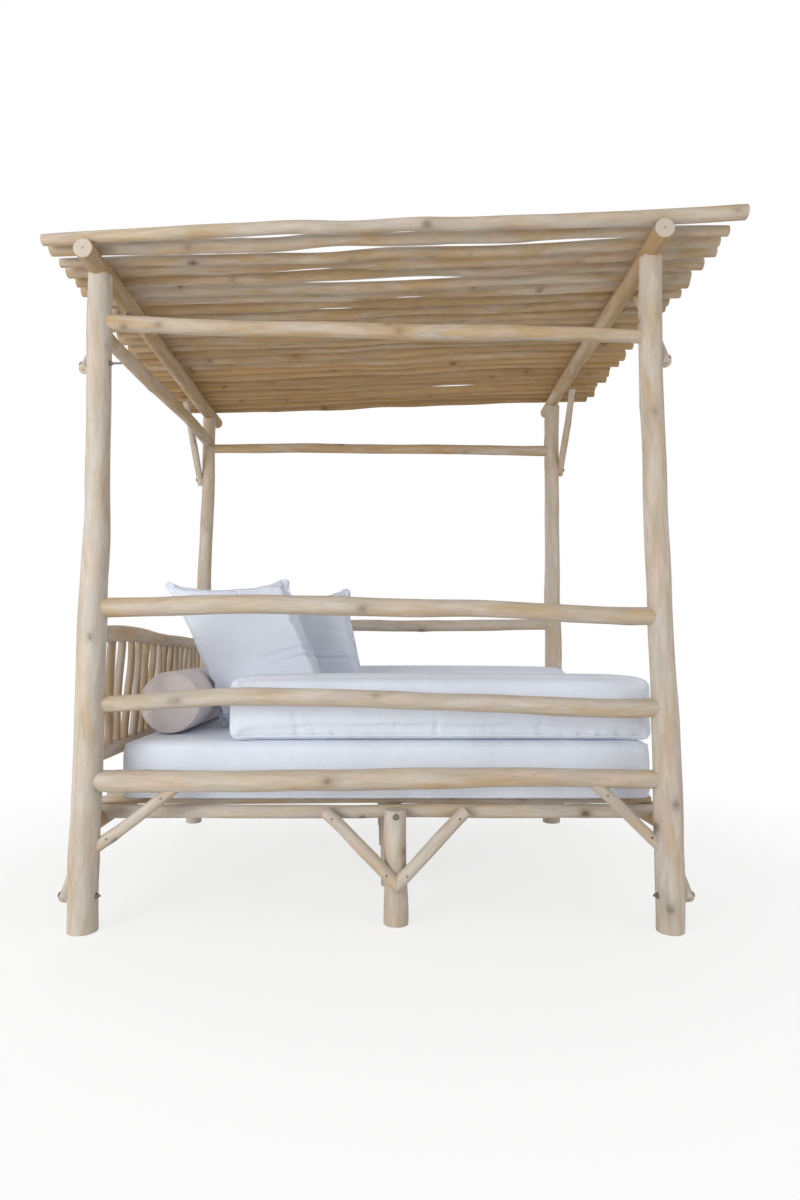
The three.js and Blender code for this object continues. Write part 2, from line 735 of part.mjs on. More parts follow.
for (const side of ["front", "rear"]) {
  for (const end of ["head", "foot"]) {
    const post = standing(fittedPole(posts[`${side}_${end}`], [beams[end]]));
    const braced = kneeBraces(side, end).reduce((whole, knee) => whole.add(knee), post);
    addSolid(frame, `post_${side}_${end}`, braced, WOOD);
    addSolid(frame, `corner_brace_${side}_${end}`, cornerBrace(side, end), WOOD);
  }
  const ends = [posts[`${side}_head`], posts[`${side}_foot`]];
  addSolid(frame, `upper_rail_${side}`, fittedPole(upperRails[side], ends), WOOD_DEEP);
  for (const [level, rail] of Object.entries(guards[side])) {
    addSolid(frame, `guard_rail_${side}_${level}`, fittedPole(rail, ends), WOOD);
  }
}
for (const end of ["head", "foot"]) {
  const ends = [posts[`front_${end}`], posts[`rear_${end}`]];
  addSolid(frame, `side_rail_${end}`, fittedPole(sideRails[end], ends), WOOD_DEEP);
}

const headPosts = [posts.front_head, posts.rear_head];
addSolid(frame, "upper_rail_head", fittedPole(upperRails.head, headPosts), WOOD_DEEP);
addSolid(
  headboard,
  "headboard_top_rail",
  fittedPole(headboardTop, [...headPosts, ...spindles]),
  WOOD,
);
addSolid(
  headboard,
  "headboard_grille",
  spindles.reduce((whole, rod) => whole.add(poleSolid(rod)), fittedPole(headboardFoot, headPosts)),
  WOOD_DEEP,
);

addSolid(
  bed,
  "slat_deck",
  slats.reduce(
    (whole, slat) => whole.add(fittedPole(slat, railsUnder)),
    fittedPole(centreBearer, [bearers.front, bearers.rear]),
  ),
  WOOD_DEEP,
);
for (const [side, facing] of [["front", -1], ["rear", 1]]) {
  addSolid(bed, `centre_leg_${side}`, centreLeg(side, facing), WOOD);
  addSolid(bed, `inner_leg_${side}`, innerLeg(facing), WOOD);
}

const mattressBase = slatHeight + SLAT_RADIUS * (1 + SWELL_SHARE) + FIT;
const mattressTop = mattressBase + MATTRESS_THICKNESS + MATTRESS_CROWN;
const mattress = softPiece(
  cushions,
  "mattress",
  cushionGeometry({
    length: MATTRESS_LENGTH,
    depth: MATTRESS_DEPTH,
    thickness: MATTRESS_THICKNESS,
    edge: MATTRESS_EDGE,
    crown: MATTRESS_CROWN,
    fullnessShare: 0.12,
    pull: 0,
    slump: 0,
    tilt: 0,
    flatBase: true,
    grid: [10, 8, 4],
  }),
  WHITE_CLOTH,
);
mattress.position.set(
  headX + MATTRESS_HEAD_GAP + MATTRESS_LENGTH / 2,
  0,
  mattressBase + (mattressTop - mattressBase) / 2,
);

for (const [side, facing] of [["front", -1], ["rear", 1]]) {
  const cushion = softPiece(
    cushions,
    `back_cushion_${side}`,
    cushionGeometry({
      length: BACK_CUSHION_LENGTH,
      depth: BACK_CUSHION_DEPTH,
      thickness: BACK_CUSHION_THICKNESS,
      edge: BACK_CUSHION_EDGE,
      crown: BACK_CUSHION_CROWN,
      fullnessShare: 0.5,
      pull: BACK_CUSHION_PULL,
      slump: 0,
      tilt: 0,
      flatBase: true,
      grid: [9, 5, 4],
    }),
    WHITE_CLOTH,
  );
  cushion.position.set(
    footX + BACK_CUSHION_PAST_POST[side] - BACK_CUSHION_LENGTH / 2,
    facing * (MATTRESS_DEPTH - BACK_CUSHION_DEPTH) / 2,
    mattressTop + FIT + (BACK_CUSHION_THICKNESS + BACK_CUSHION_CROWN) / 2,
  );
}

const bolsterPlace = point(
  headX + BOLSTER_HEAD_GAP + BOLSTER_RADIUS,
  BOLSTER_FRONT + BOLSTER_LENGTH / 2,
  mattressTop + FIT + BOLSTER_RADIUS,
);
softPiece(cushions, "bolster", bolsterGeometry(), SAND_CLOTH).position.copy(bolsterPlace);
// The pillow's seat runs straight down, so that the pillow can be lifted past the bolster.
const bolsterTrack = solidFrom(bolsterGeometry(FIT)).translate(bolsterPlace.toArray());
const bolsterSeat = bolsterTrack.add(bolsterTrack.translate([0, 0, -BOLSTER_RADIUS])).hull();

// A pillow stands on its lower seam, leaning back and turned about the upright.
function standPillow(name, place) {
  const pillow = solidFrom(
    cushionGeometry({
      length: PILLOW_WIDTH,
      depth: PILLOW_HEIGHT,
      thickness: PILLOW_SEAM,
      edge: PILLOW_SEAM / 2,
      crown: PILLOW_CROWN,
      fullnessShare: 0.7,
      pull: PILLOW_PULL,
      slump: place.slump,
      tilt: place.tilt,
      flatBase: false,
      grid: [9, 9, 2],
    }),
  ).rotate([90 - place.lean, 0, place.turn]);
  const rise = mattressTop + FIT - pillow.boundingBox().min[2];
  const stood = pillow.translate([headX + place.fromHead, place.fromMiddle, rise]);
  addSolid(cushions, name, stood.subtract(bolsterSeat), WHITE_CLOTH);
}

standPillow("pillow_front", {
  fromHead: FRONT_PILLOW_FROM_HEAD,
  fromMiddle: FRONT_PILLOW_FROM_MIDDLE,
  slump: FRONT_PILLOW_SLUMP,
  tilt: FRONT_PILLOW_TILT,
  turn: FRONT_PILLOW_TURN_DEGREES,
  lean: FRONT_PILLOW_LEAN_DEGREES,
});
standPillow("pillow_rear", {
  fromHead: REAR_PILLOW_FROM_HEAD,
  fromMiddle: REAR_PILLOW_FROM_MIDDLE,
  slump: REAR_PILLOW_SLUMP,
  tilt: REAR_PILLOW_TILT,
  turn: REAR_PILLOW_TURN_DEGREES,
  lean: REAR_PILLOW_LEAN_DEGREES,
});

// The origin is on the floor under the middle of the whole.
const whole = new THREE.Box3().setFromObject(daybed, true).getCenter(point(0, 0, 0));
daybed.position.set(-whole.x, -whole.y, 0);

export default daybed;
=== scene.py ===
"""The looks of an outdoor daybed of peeled crooked poles, built on its packed frame.

Metres. -X is the head end with the spindle headboard, +X the open foot end, -Y the
front. Every pole follows the same crooked centre line as the solid that it stands for.
"""

import math

import bpy
import numpy as np
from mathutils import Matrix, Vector


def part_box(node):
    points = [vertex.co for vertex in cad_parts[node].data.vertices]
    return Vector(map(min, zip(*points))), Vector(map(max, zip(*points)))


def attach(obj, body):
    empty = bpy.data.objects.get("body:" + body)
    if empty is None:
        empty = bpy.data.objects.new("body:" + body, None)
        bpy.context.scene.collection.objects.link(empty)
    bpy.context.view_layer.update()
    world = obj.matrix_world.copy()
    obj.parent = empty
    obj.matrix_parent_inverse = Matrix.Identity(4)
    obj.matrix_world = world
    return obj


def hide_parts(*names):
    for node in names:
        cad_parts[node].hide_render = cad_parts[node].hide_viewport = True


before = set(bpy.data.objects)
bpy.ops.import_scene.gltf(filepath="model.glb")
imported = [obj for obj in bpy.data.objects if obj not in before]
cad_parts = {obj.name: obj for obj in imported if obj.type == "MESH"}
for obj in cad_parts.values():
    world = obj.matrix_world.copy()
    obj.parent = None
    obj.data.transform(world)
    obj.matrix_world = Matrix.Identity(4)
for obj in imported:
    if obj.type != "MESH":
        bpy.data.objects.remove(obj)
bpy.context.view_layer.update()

bl_info = {
    "name": "Pole daybed",
    "version": (1, 0, 0),
    "blender": (4, 5, 0),
    "location": "3D View > Sidebar > Daybed",
    "description": "Builds the poles, fittings, cushions and stage of an outdoor daybed",
    "category": "Object",
}

# Where the middle between the four posts lies in the frame of the packed model
MATTRESS_LOW, MATTRESS_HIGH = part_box("mattress")
MATTRESS_PAST_MIDDLE = 0.04
ORIGIN = np.array([
    (MATTRESS_LOW.x + MATTRESS_HIGH.x) / 2 - MATTRESS_PAST_MIDDLE,
    (MATTRESS_LOW.y + MATTRESS_HIGH.y) / 2,
    0.0,
])

# Growth of a pole
TWIST = 3.4
THIRD_WAVE = 0.3
SWELL = 0.035
SWELL_WAVES = 9.0
EASED_END = 0.012
CUT_FADE = 0.12
KNOT_HALO = 0.28
KNOT_STRETCH = 0.5
SEED_STRIDE, SEED_SPAN = 2.71, 40

# The thread of a rod and the year rings
THREAD_PITCH = 0.0013
THREAD_START = 0.006
RING_RATE = 1700.0


def linear(red, green, blue):
    """A colour given as 0 to 255 on a screen, as Blender's scene-linear colour."""
    share = np.array([red, green, blue]) / 255
    low = share / 12.92
    high = ((share + 0.055) / 1.055) ** 2.4
    return tuple(float(value) for value in np.where(share <= 0.04045, low, high))


# Sizes and colours that a user may change


def length_property(name, description, default):
    return bpy.props.FloatProperty(
        name=name, description=description, default=default, min=0.0, unit="LENGTH"
    )


def colour_property(name, description, default):
    return bpy.props.FloatVectorProperty(
        name=name, description=description, default=default, size=3, min=0.0, max=1.0,
        subtype="COLOR",
    )


def number_property(name, description, default):
    return bpy.props.FloatProperty(name=name, description=description, default=default, min=0.0)


class DaybedPoleSizes(bpy.types.PropertyGroup):
    """Sizes of the pole frame: those of the packed model, with fuller spindles."""

    spacing_length: length_property("Post spacing, length", "Head post to foot post", 2.0)
    spacing_depth: length_property("Post spacing, depth", "Front post to rear post", 1.6)
    head_post_height: length_property("Head post height", "Height of the head posts", 2.31)
    roof_rise: length_property("Roof rise", "How much taller the foot posts are", 0.068)
    post_butt: length_property("Post butt", "Radius of a post at the floor", 0.049)
    post_tip: length_property("Post tip", "Radius of a post under the roof", 0.039)
    post_crook: length_property("Post crook", "How far a post bends aside", 0.011)
    beam_radius: length_property("Beam radius", "Radius of a roof beam", 0.034)
    roof_pole_butt: length_property("Roof pole butt", "Radius of its thick end", 0.025)
    roof_pole_tip: length_property("Roof pole tip", "Radius of its thin end", 0.0185)
    slat_radius: length_property("Slat radius", "Radius of a slat of the bed", 0.014)
    spindle_radius: length_property("Spindle radius", "Radius of a headboard spindle", 0.015)
    knot_height: length_property("Knot height", "How far a knot stands proud", 0.0032)


class DaybedSoftSizes(bpy.types.PropertyGroup):
    """Sizes of the cushions' covers and filling."""

    piping_radius: length_property("Piping radius", "Radius of the piped seams", 0.0042)
    pillow_pressure: number_property("Pillow filling", "Pressure in the pillows", 4.0)
    box_pressure: number_property("Cushion filling", "Pressure in the long cushions", 2.0)
    cloth_growth: number_property("Spare cloth", "Extra cloth that folds, as a share", 0.035)
    pillow_reach: length_property("Pillow swelling", "The most that a pillow swells", 0.026)
    box_reach: length_property("Cushion swelling", "The most that a cushion swells", 0.009)


class DaybedFinishes(bpy.types.PropertyGroup):
    """Colours of the wood, the cloth and the fittings."""

    pale_wood: colour_property("Pale wood", "Dry peeled wood", linear(203, 193, 179))
    tan_wood: colour_property("Tan wood", "Warmer streaks", linear(190, 166, 132))
    grey_wood: colour_property("Grey wood", "Weathered patches", linear(194, 189, 181))
    pink_wood: colour_property("Pink wood", "Rosy patches", linear(205, 184, 169))
    # Honey colour: partly the wood's own tone, partly painted shade on pieces that lie in shade.
    honey_wood: colour_property("Honey wood", "Deep tone of some poles", linear(196, 160, 109))
    # Dark wood of knots, splits and pith, also used as painted shade on the spindles.
    knot_wood: colour_property("Knots", "Knots and bark scars", linear(88, 60, 38))
    canvas: colour_property("White canvas", "Mattress, cushions, pillows", linear(231, 237, 249))
    sand: colour_property("Sand canvas", "Cover of the bolster", linear(226, 216, 214))
    steel: colour_property("Steel", "Bolts, nuts and screws", linear(138, 134, 126))


class DaybedStage(bpy.types.PropertyGroup):
    """Light, floor and camera."""

    key_power: number_property("Key light", "Power of the large light, in watts", 172.0)
    fill_power: number_property("Fill light", "Power of the light on the right", 26.0)
    rear_power: number_property("Rear light", "Power of the light behind", 66.0)
    sky_strength: number_property("Sky", "Strength of the even light", 0.6)
    lens: number_property("Lens", "Focal length in millimetres", 21.81)
    eye: bpy.props.FloatVectorProperty(
        name="Eye", description="Where the camera is, from between the posts", size=3,
        unit="LENGTH", default=(-0.031, -3.349, 0.944),
    )
    pitch: bpy.props.FloatProperty(
        name="Pitch", description="How far the camera looks up", unit="ROTATION",
        default=math.radians(4.15),
    )
    shift: bpy.props.FloatProperty(
        name="Shift", description="Sideways shift of the view, as a share", default=0.0275
    )


# Poles


class Pole:
    """A tapered pole whose centre line bows and turns between the places that hold it."""

    def __init__(self, start, end, start_radius, end_radius, crook=(0.0, 0.0), bend=0.0,
                 held=(0.0, 1.0)):
        self.start = np.array(start, float)
        self.end = np.array(end, float)
        self.start_radius = start_radius
        self.end_radius = end_radius
        self.lift, self.sway = crook
        self.bend = bend
        self.held = held

    def axes(self):
        """Along the pole, as near upwards as it can be, and across."""
        along = self.end - self.start
        along = along / np.linalg.norm(along)
        upright = abs(along[2]) > math.sqrt(0.5)
        guide = np.array([1.0, 0.0, 0.0]) if upright else np.array([0.0, 0.0, 1.0])
        up = guide - along * (guide @ along)
        up = up / np.linalg.norm(up)
        return along, up, np.cross(along, up)

    @property
    def length(self):
        return float(np.linalg.norm(self.end - self.start))

    def radius(self, share):
        """An even taper times one plus a slow sine of the share."""
        taper = self.start_radius + (self.end_radius - self.start_radius) * share
        return taper * (1 + SWELL * np.sin(SWELL_WAVES * share + self.bend))

    def centre(self, share):
        """The straight line plus a half sine and a smaller third wave between the held
        shares, in a direction that turns as it goes along."""
        share = np.asarray(share, float)
        first, last = self.held
        arc = math.pi * (share - first) / (last - first)
        bow = np.sin(arc) + THIRD_WAVE * np.sin(3 * arc)
        turn = self.bend + TWIST * share
        _, up, across = self.axes()
        line = self.start + np.multiply.outer(share, self.end - self.start)
        lifted = np.multiply.outer(self.lift * bow * np.cos(turn), up)
        swayed = np.multiply.outer(self.sway * bow * np.sin(turn), across)
        return line + lifted + swayed

    def share_at(self, axis, value):
        """The share at which the straight line reaches a coordinate, 0 to 2 for X to Z."""
        return (value - self.start[axis]) / (self.end[axis] - self.start[axis])

    def crossing(self, axis, value):
        share = self.share_at(axis, value)
        return share, self.centre(share)


def rail_between(first, last, first_height, last_height, radius, taper, crook, bend, inset=0.0):
    """A rail from one post's centre line to another's, at a height on each."""
    aside = np.array([inset, 0.0, 0.0])
    return Pole(
        first.crossing(2, first_height)[1] + aside,
        last.crossing(2, last_height)[1] + aside,
        radius * (1 - taper),
        radius * (1 + taper),
        (crook, crook),
        bend,
    )


class PoleFrame:
    """Every pole of the daybed, from the sizes of the pole frame, before it is shifted
    to the frame of the packed model."""

    thickness = {
        ("front", "head"): 1.07,
        ("front", "foot"): 0.98,
        ("rear", "head"): 0.9,
        ("rear", "foot"): 1.0,
    }
    post_bends = {
        ("front", "head"): 4.6,
        ("front", "foot"): 6.1,
        ("rear", "head"): 3.9,
        ("rear", "foot"): 5.2,
    }
    knee_drops = {
        ("front", "head"): 0.375,
        ("front", "foot"): 0.42,
        ("rear", "head"): 0.415,
        ("rear", "foot"): 0.425,
    }
    # Height at the first post and at the second, radius, taper, crook and bend
    guard_levels = {
        "front": {
            "top": (1.102, 1.073, 0.0325, -0.08, 0.026, 4.86),
            "middle": (0.764, 0.756, 0.031, 0.05, 0.034, 5.06),
            "base": (0.506, 0.506, 0.0355, -0.1, 0.009, 3.3),
        },
        "rear": {
            "top": (1.104, 1.104, 0.032, -0.05, 0.009, 7.9),
            "middle": (0.77, 0.77, 0.033, 0.12, 0.009, 2.8),
            "base": (0.506, 0.506, 0.038, -0.04, 0.009, 5.6),
        },
    }
    # In the same order
    upper_levels = {
        "front": (2.137, 2.081, 0.027, -0.08, 0.008, 2.9),
        "rear": (2.127, 2.115, 0.027, 0.06, 0.008, 5.1),
        "head": (2.112, 2.16, 0.029, 0.05, 0.01, 4.6),
    }
    floor_overrun = 0.02
    rear_lean = 0.05
    contact_gap = 0.0003

    beam_bends = {"head": 0.9, "foot": 2.6}
    beam_saddle = 0.012
    beam_front_overhang = 0.15
    beam_rear_overhang = 0.175
    beam_crook = 0.005

    roof_pole_count = 25
    roof_front_overhang = 0.12
    roof_rear_overhang = 0.07
    roof_head_overhang = 0.16
    roof_foot_overhang = 0.275
    roof_ragged_end = 0.016
    roof_pole_lift = 0.012
    roof_pole_sway = 0.011
    roof_seat_depth = 0.004

    headboard_taper = -0.08
    headboard_inset = 0.015
    spindle_count = 15
    spindle_spacing = 0.094
    spindle_crook = 0.004
    spindle_seat = 0.014

    side_rail_height = 0.354
    side_rail_radius = 0.035
    side_rail_taper = 0.04
    side_rail_crook = 0.002

    slat_count = 17
    slat_spacing = 0.075
    slat_overhang = 0.022
    slat_sink = 0.003
    deck_sway = 0.005
    bearer_y = 0.68
    bearer_height = 0.375
    bearer_radius = 0.024
    centre_bearer_radius = 0.03
    centre_bearer_sink = 0.004

    centre_x = 0.07
    centre_leg_y = 0.734
    centre_leg_top = 0.392
    inner_leg_y = 0.31
    inner_leg_sink = 0.014
    leg_radius = 0.04
    leg_foot_radius = 0.0416
    leg_top_radius = 0.0384
    leg_crook = 0.003

    brace_radius = 0.023
    brace_crook = 0.003
    brace_sink = 0.009
    brace_foot_height = 0.128
    brace_top_height = 0.385
    brace_reach = 0.25
    corner_brace_reach = {"head": 0.336, "foot": -0.272}
    corner_brace_foot = 0.252
    corner_brace_radius = 0.021
    corner_brace_tip = 0.01974

    knee_radius = 0.018
    knee_sink = 0.009
    knee_shift = 0.014
    knee_foot_height = 0.108
    knee_lower_reach = 0.265
    knee_upper_reach = 0.285
    knee_beam_drop = 0.022

    def __init__(self, sizes):
        self.sizes = sizes
        self.head_x = -sizes.spacing_length / 2
        self.foot_x = sizes.spacing_length / 2
        self.front_y = -sizes.spacing_depth / 2
        self.rear_y = sizes.spacing_depth / 2
        self.posts = {key: self.post(*key) for key in self.thickness}
        self.beams = {end: self.beam(end, bend) for end, bend in self.beam_bends.items()}
        self.upper_rails = self.make_upper_rails()
        self.guards = {side: self.guard_rails(side) for side in self.guard_levels}
        self.headboard_top = self.headboard_rail(height=1.008, radius=0.028, crook=0.016, bend=0.2)
        self.headboard_foot = self.headboard_rail(height=0.592, radius=0.027, crook=0.006, bend=3.6)
        self.side_rails = {"head": self.side_rail("head", 1.6), "foot": self.side_rail("foot", 4.7)}
        self.make_deck()

    def post(self, side, end):
        sizes = self.sizes
        x = self.head_x if end == "head" else self.foot_x
        y = self.front_y if side == "front" else self.rear_y
        height = sizes.head_post_height + (0.0 if end == "head" else sizes.roof_rise)
        lean = self.rear_lean if side == "rear" else 0.0
        below = lean / height * self.floor_overrun
        thick = self.thickness[(side, end)]
        return Pole(
            (x - below, y, -self.floor_overrun),
            (x + lean, y, height),
            sizes.post_butt * thick,
            sizes.post_tip * thick,
            (sizes.post_crook, sizes.post_crook),
            self.post_bends[(side, end)],
        )

    def beam(self, end, bend):
        rise = np.array([0.0, 0.0, self.sizes.beam_radius - self.beam_saddle])
        front = self.posts[("front", end)].end + rise
        rear = self.posts[("rear", end)].end + rise
        reach = float(np.linalg.norm(rear - front))
        along = (rear - front) / reach
        before, after = self.beam_front_overhang, self.beam_rear_overhang
        whole = reach + before + after
        radius = self.sizes.beam_radius
        return Pole(
            front - along * before, rear + along * after, radius, radius,
            (self.beam_crook, self.beam_crook), bend, (before / whole, 1 - after / whole),
        )

    def roof_pole(self, index):
        sizes = self.sizes
        thick = sizes.roof_pole_butt * (1 + 0.13 * math.sin(2.4 * index))
        thin = sizes.roof_pole_tip * (1 + 0.1 * math.sin(1.7 * index + 1))
        radii = (thick, thin) if index % 2 == 1 else (thin, thick)
        depth = sizes.spacing_depth + self.roof_front_overhang + self.roof_rear_overhang
        y = self.front_y - self.roof_front_overhang + depth * index / (self.roof_pole_count - 1)
        head_ragged = self.roof_ragged_end * math.sin(3.1 * index + 3.1)
        foot_ragged = self.roof_ragged_end * math.sin(1.9 * index + 1.9)
        from_x = self.head_x - self.roof_head_overhang + head_ragged
        to_x = self.foot_x + self.roof_foot_overhang + foot_ragged
        crook = (
            self.roof_pole_lift * math.sin(2.1 * index + 0.5),
            self.roof_pole_sway * math.sin(2.7 * index + 1.4),
        )
        pole = Pole((from_x, y, 0), (to_x, y, 0), *radii, crook, 2.2 * index)
        seats = []
        for beam in (self.beams["head"], self.beams["foot"]):
            share, centre = beam.crossing(1, y)
            along = (centre[0] - from_x) / (to_x - from_x)
            stack = beam.radius(share) + pole.radius(along) - self.roof_seat_depth
            seats.append((along, centre[0], centre[2] + stack))
        (first, first_x, first_z), (last, last_x, last_z) = seats
        slope = (last_z - first_z) / (last_x - first_x)
        pole.start[2] = first_z + slope * (from_x - first_x)
        pole.end[2] = first_z + slope * (to_x - first_x)
        pole.held = (first, last)
        return pole

    def make_upper_rails(self):
        posts = self.posts
        ends = {
            "front": (posts[("front", "head")], posts[("front", "foot")]),
            "rear": (posts[("rear", "head")], posts[("rear", "foot")]),
            "head": (posts[("front", "head")], posts[("rear", "head")]),
        }
        return {side: rail_between(*ends[side], *form) for side, form in self.upper_levels.items()}

    def guard_rails(self, side):
        ends = (self.posts[(side, "head")], self.posts[(side, "foot")])
        return {
            level: rail_between(*ends, *form)
            for level, form in self.guard_levels[side].items()
        }

    def headboard_rail(self, height, radius, crook, bend):
        ends = (self.posts[("front", "head")], self.posts[("rear", "head")])
        return rail_between(
            *ends, height, height, radius, self.headboard_taper, crook, bend, self.headboard_inset
        )

    def spindle(self, index):
        radius = self.sizes.spindle_radius
        y = self.spindle_spacing * (index - (self.spindle_count - 1) / 2)
        share, top = self.headboard_top.crossing(1, y)
        seat = self.headboard_top.radius(share) - self.spindle_seat
        return Pole(
            self.headboard_foot.crossing(1, y)[1],
            top - np.array([0.0, 0.0, seat]),
            radius * 1.04,
            radius * (0.96 + 0.05 * math.sin(2 * index)),
            (self.spindle_crook, self.spindle_crook),
            1.9 * index,
        )

    def side_rail(self, end, bend):
        height = self.side_rail_height
        return rail_between(
            self.posts[("front", end)], self.posts[("rear", end)], height, height,
            self.side_rail_radius, self.side_rail_taper, self.side_rail_crook, bend,
        )

    def make_deck(self):
        radius = self.sizes.slat_radius
        carrier_top = self.side_rail_height + self.side_rail_radius
        self.slat_height = carrier_top + radius - self.slat_sink
        sway = (0.0, self.deck_sway)
        self.bearers = {}
        for side, y, bend in (("front", -self.bearer_y, 1.0), ("rear", self.bearer_y, 2.0)):
            head = self.side_rails["head"].crossing(1, y)[1][0]
            foot = self.side_rails["foot"].crossing(1, y)[1][0]
            self.bearers[side] = Pole(
                (head, y, self.bearer_height), (foot, y, self.bearer_height),
                self.bearer_radius, self.bearer_radius, sway, bend,
            )
        from_x = self.head_x - self.slat_overhang
        to_x = self.foot_x + self.slat_overhang
        self.slats = []
        for index in range(self.slat_count):
            y = self.slat_spacing * (index - (self.slat_count - 1) / 2)
            ends = ((from_x, y, self.slat_height), (to_x, y, self.slat_height))
            self.slats.append(Pole(*ends, radius, radius, sway, 2.5 * index))
        thick = self.centre_bearer_radius
        height = self.slat_height - (radius + thick - self.centre_bearer_sink)
        self.centre_bearer = Pole(
            (self.centre_x, -self.bearer_y, height), (self.centre_x, self.bearer_y, height),
            thick, thick, sway, 0.0,
        )

    def leg(self, y, top, bend):
        return Pole(
            (self.centre_x, y, -self.floor_overrun), (self.centre_x, y, top),
            self.leg_foot_radius, self.leg_top_radius, (self.leg_crook, self.leg_crook), bend,
        )

    def centre_leg(self, side, facing):
        bend = 0.6 if side == "front" else 2.4
        return self.leg(facing * self.centre_leg_y, self.centre_leg_top, bend)

    def inner_leg(self, facing):
        top = self.centre_bearer.start[2] - self.inner_leg_sink
        return self.leg(facing * self.inner_leg_y, top, 3 + facing)

    def v_brace(self, facing, way):
        radius = self.brace_radius
        foot_y = facing * (self.centre_leg_y + self.leg_radius + radius - self.brace_sink)
        top_y = facing * (self.bearer_y + self.bearer_radius + radius + self.contact_gap)
        return Pole(
            (self.centre_x - way * radius, foot_y, self.brace_foot_height),
            (self.centre_x + way * self.brace_reach, top_y, self.brace_top_height),
            radius, radius, (self.brace_crook, self.brace_crook), 2 * way,
        )

    def corner_brace(self, side, end):
        post = self.posts[(side, end)]
        rail = self.guards[side]["base"]
        foot = post.crossing(2, self.corner_brace_foot)[1]
        top_x = foot[0] + self.corner_brace_reach[end]
        top = rail.centre(rail.share_at(0, top_x))
        radii = (self.corner_brace_radius, self.corner_brace_tip)
        return Pole(foot, top, *radii, (0.0, 0.0), 1.0)

    def knees(self, side, end):
        """The lower and the upper knee brace on a post's outer face."""
        post = self.posts[(side, end)]
        outward = -1 if end == "head" else 1
        inward = 1 if side == "front" else -1
        radius = self.knee_radius

        def foot_at(height):
            share, centre = post.crossing(2, height)
            spread = post.radius(share) + radius - self.knee_sink
            return centre + np.array([outward * spread, -inward * self.knee_shift, 0.0])

        def top_at(rail, reach, shift):
            share, centre = rail.crossing(1, post.start[1] + inward * reach)
            spread = rail.radius(share) + radius + self.contact_gap
            return centre + np.array([outward * spread, 0.0, shift])

        beam = self.beams[end]
        height = post.end[2] + self.sizes.beam_radius - self.beam_saddle
        low_rail = self.side_rails[end]
        lower = (foot_at(self.knee_foot_height), top_at(low_rail, self.knee_lower_reach, radius))
        drop = self.knee_drops[(side, end)]
        upper = (foot_at(height - drop), top_at(beam, self.knee_upper_reach, -self.knee_beam_drop))
        thick = (radius * 1.05, radius * 0.95)
        return Pole(*lower, *thick, (0.0, 0.0), 1.0), Pole(*upper, *thick, (0.0, 0.0), 4.0)


# Surfaces


def closed_tube_faces(rows, sides):
    """Quads of a grid of rows by sides that is closed round, and triangles that close
    both ends on one point each, which come after the grid's points."""
    here = np.arange(sides)
    there = (here + 1) % sides
    base = np.arange(rows - 1)[:, None] * sides
    quads = np.stack(
        [base + here, base + sides + here, base + sides + there, base + there], axis=-1
    ).reshape(-1, 4)
    start, end = rows * sides, rows * sides + 1
    first = np.stack([np.full(sides, start), here, there], axis=-1)
    tail = (rows - 1) * sides
    last = np.stack([np.full(sides, end), tail + there, tail + here], axis=-1)
    return quads, np.concatenate([first, last])


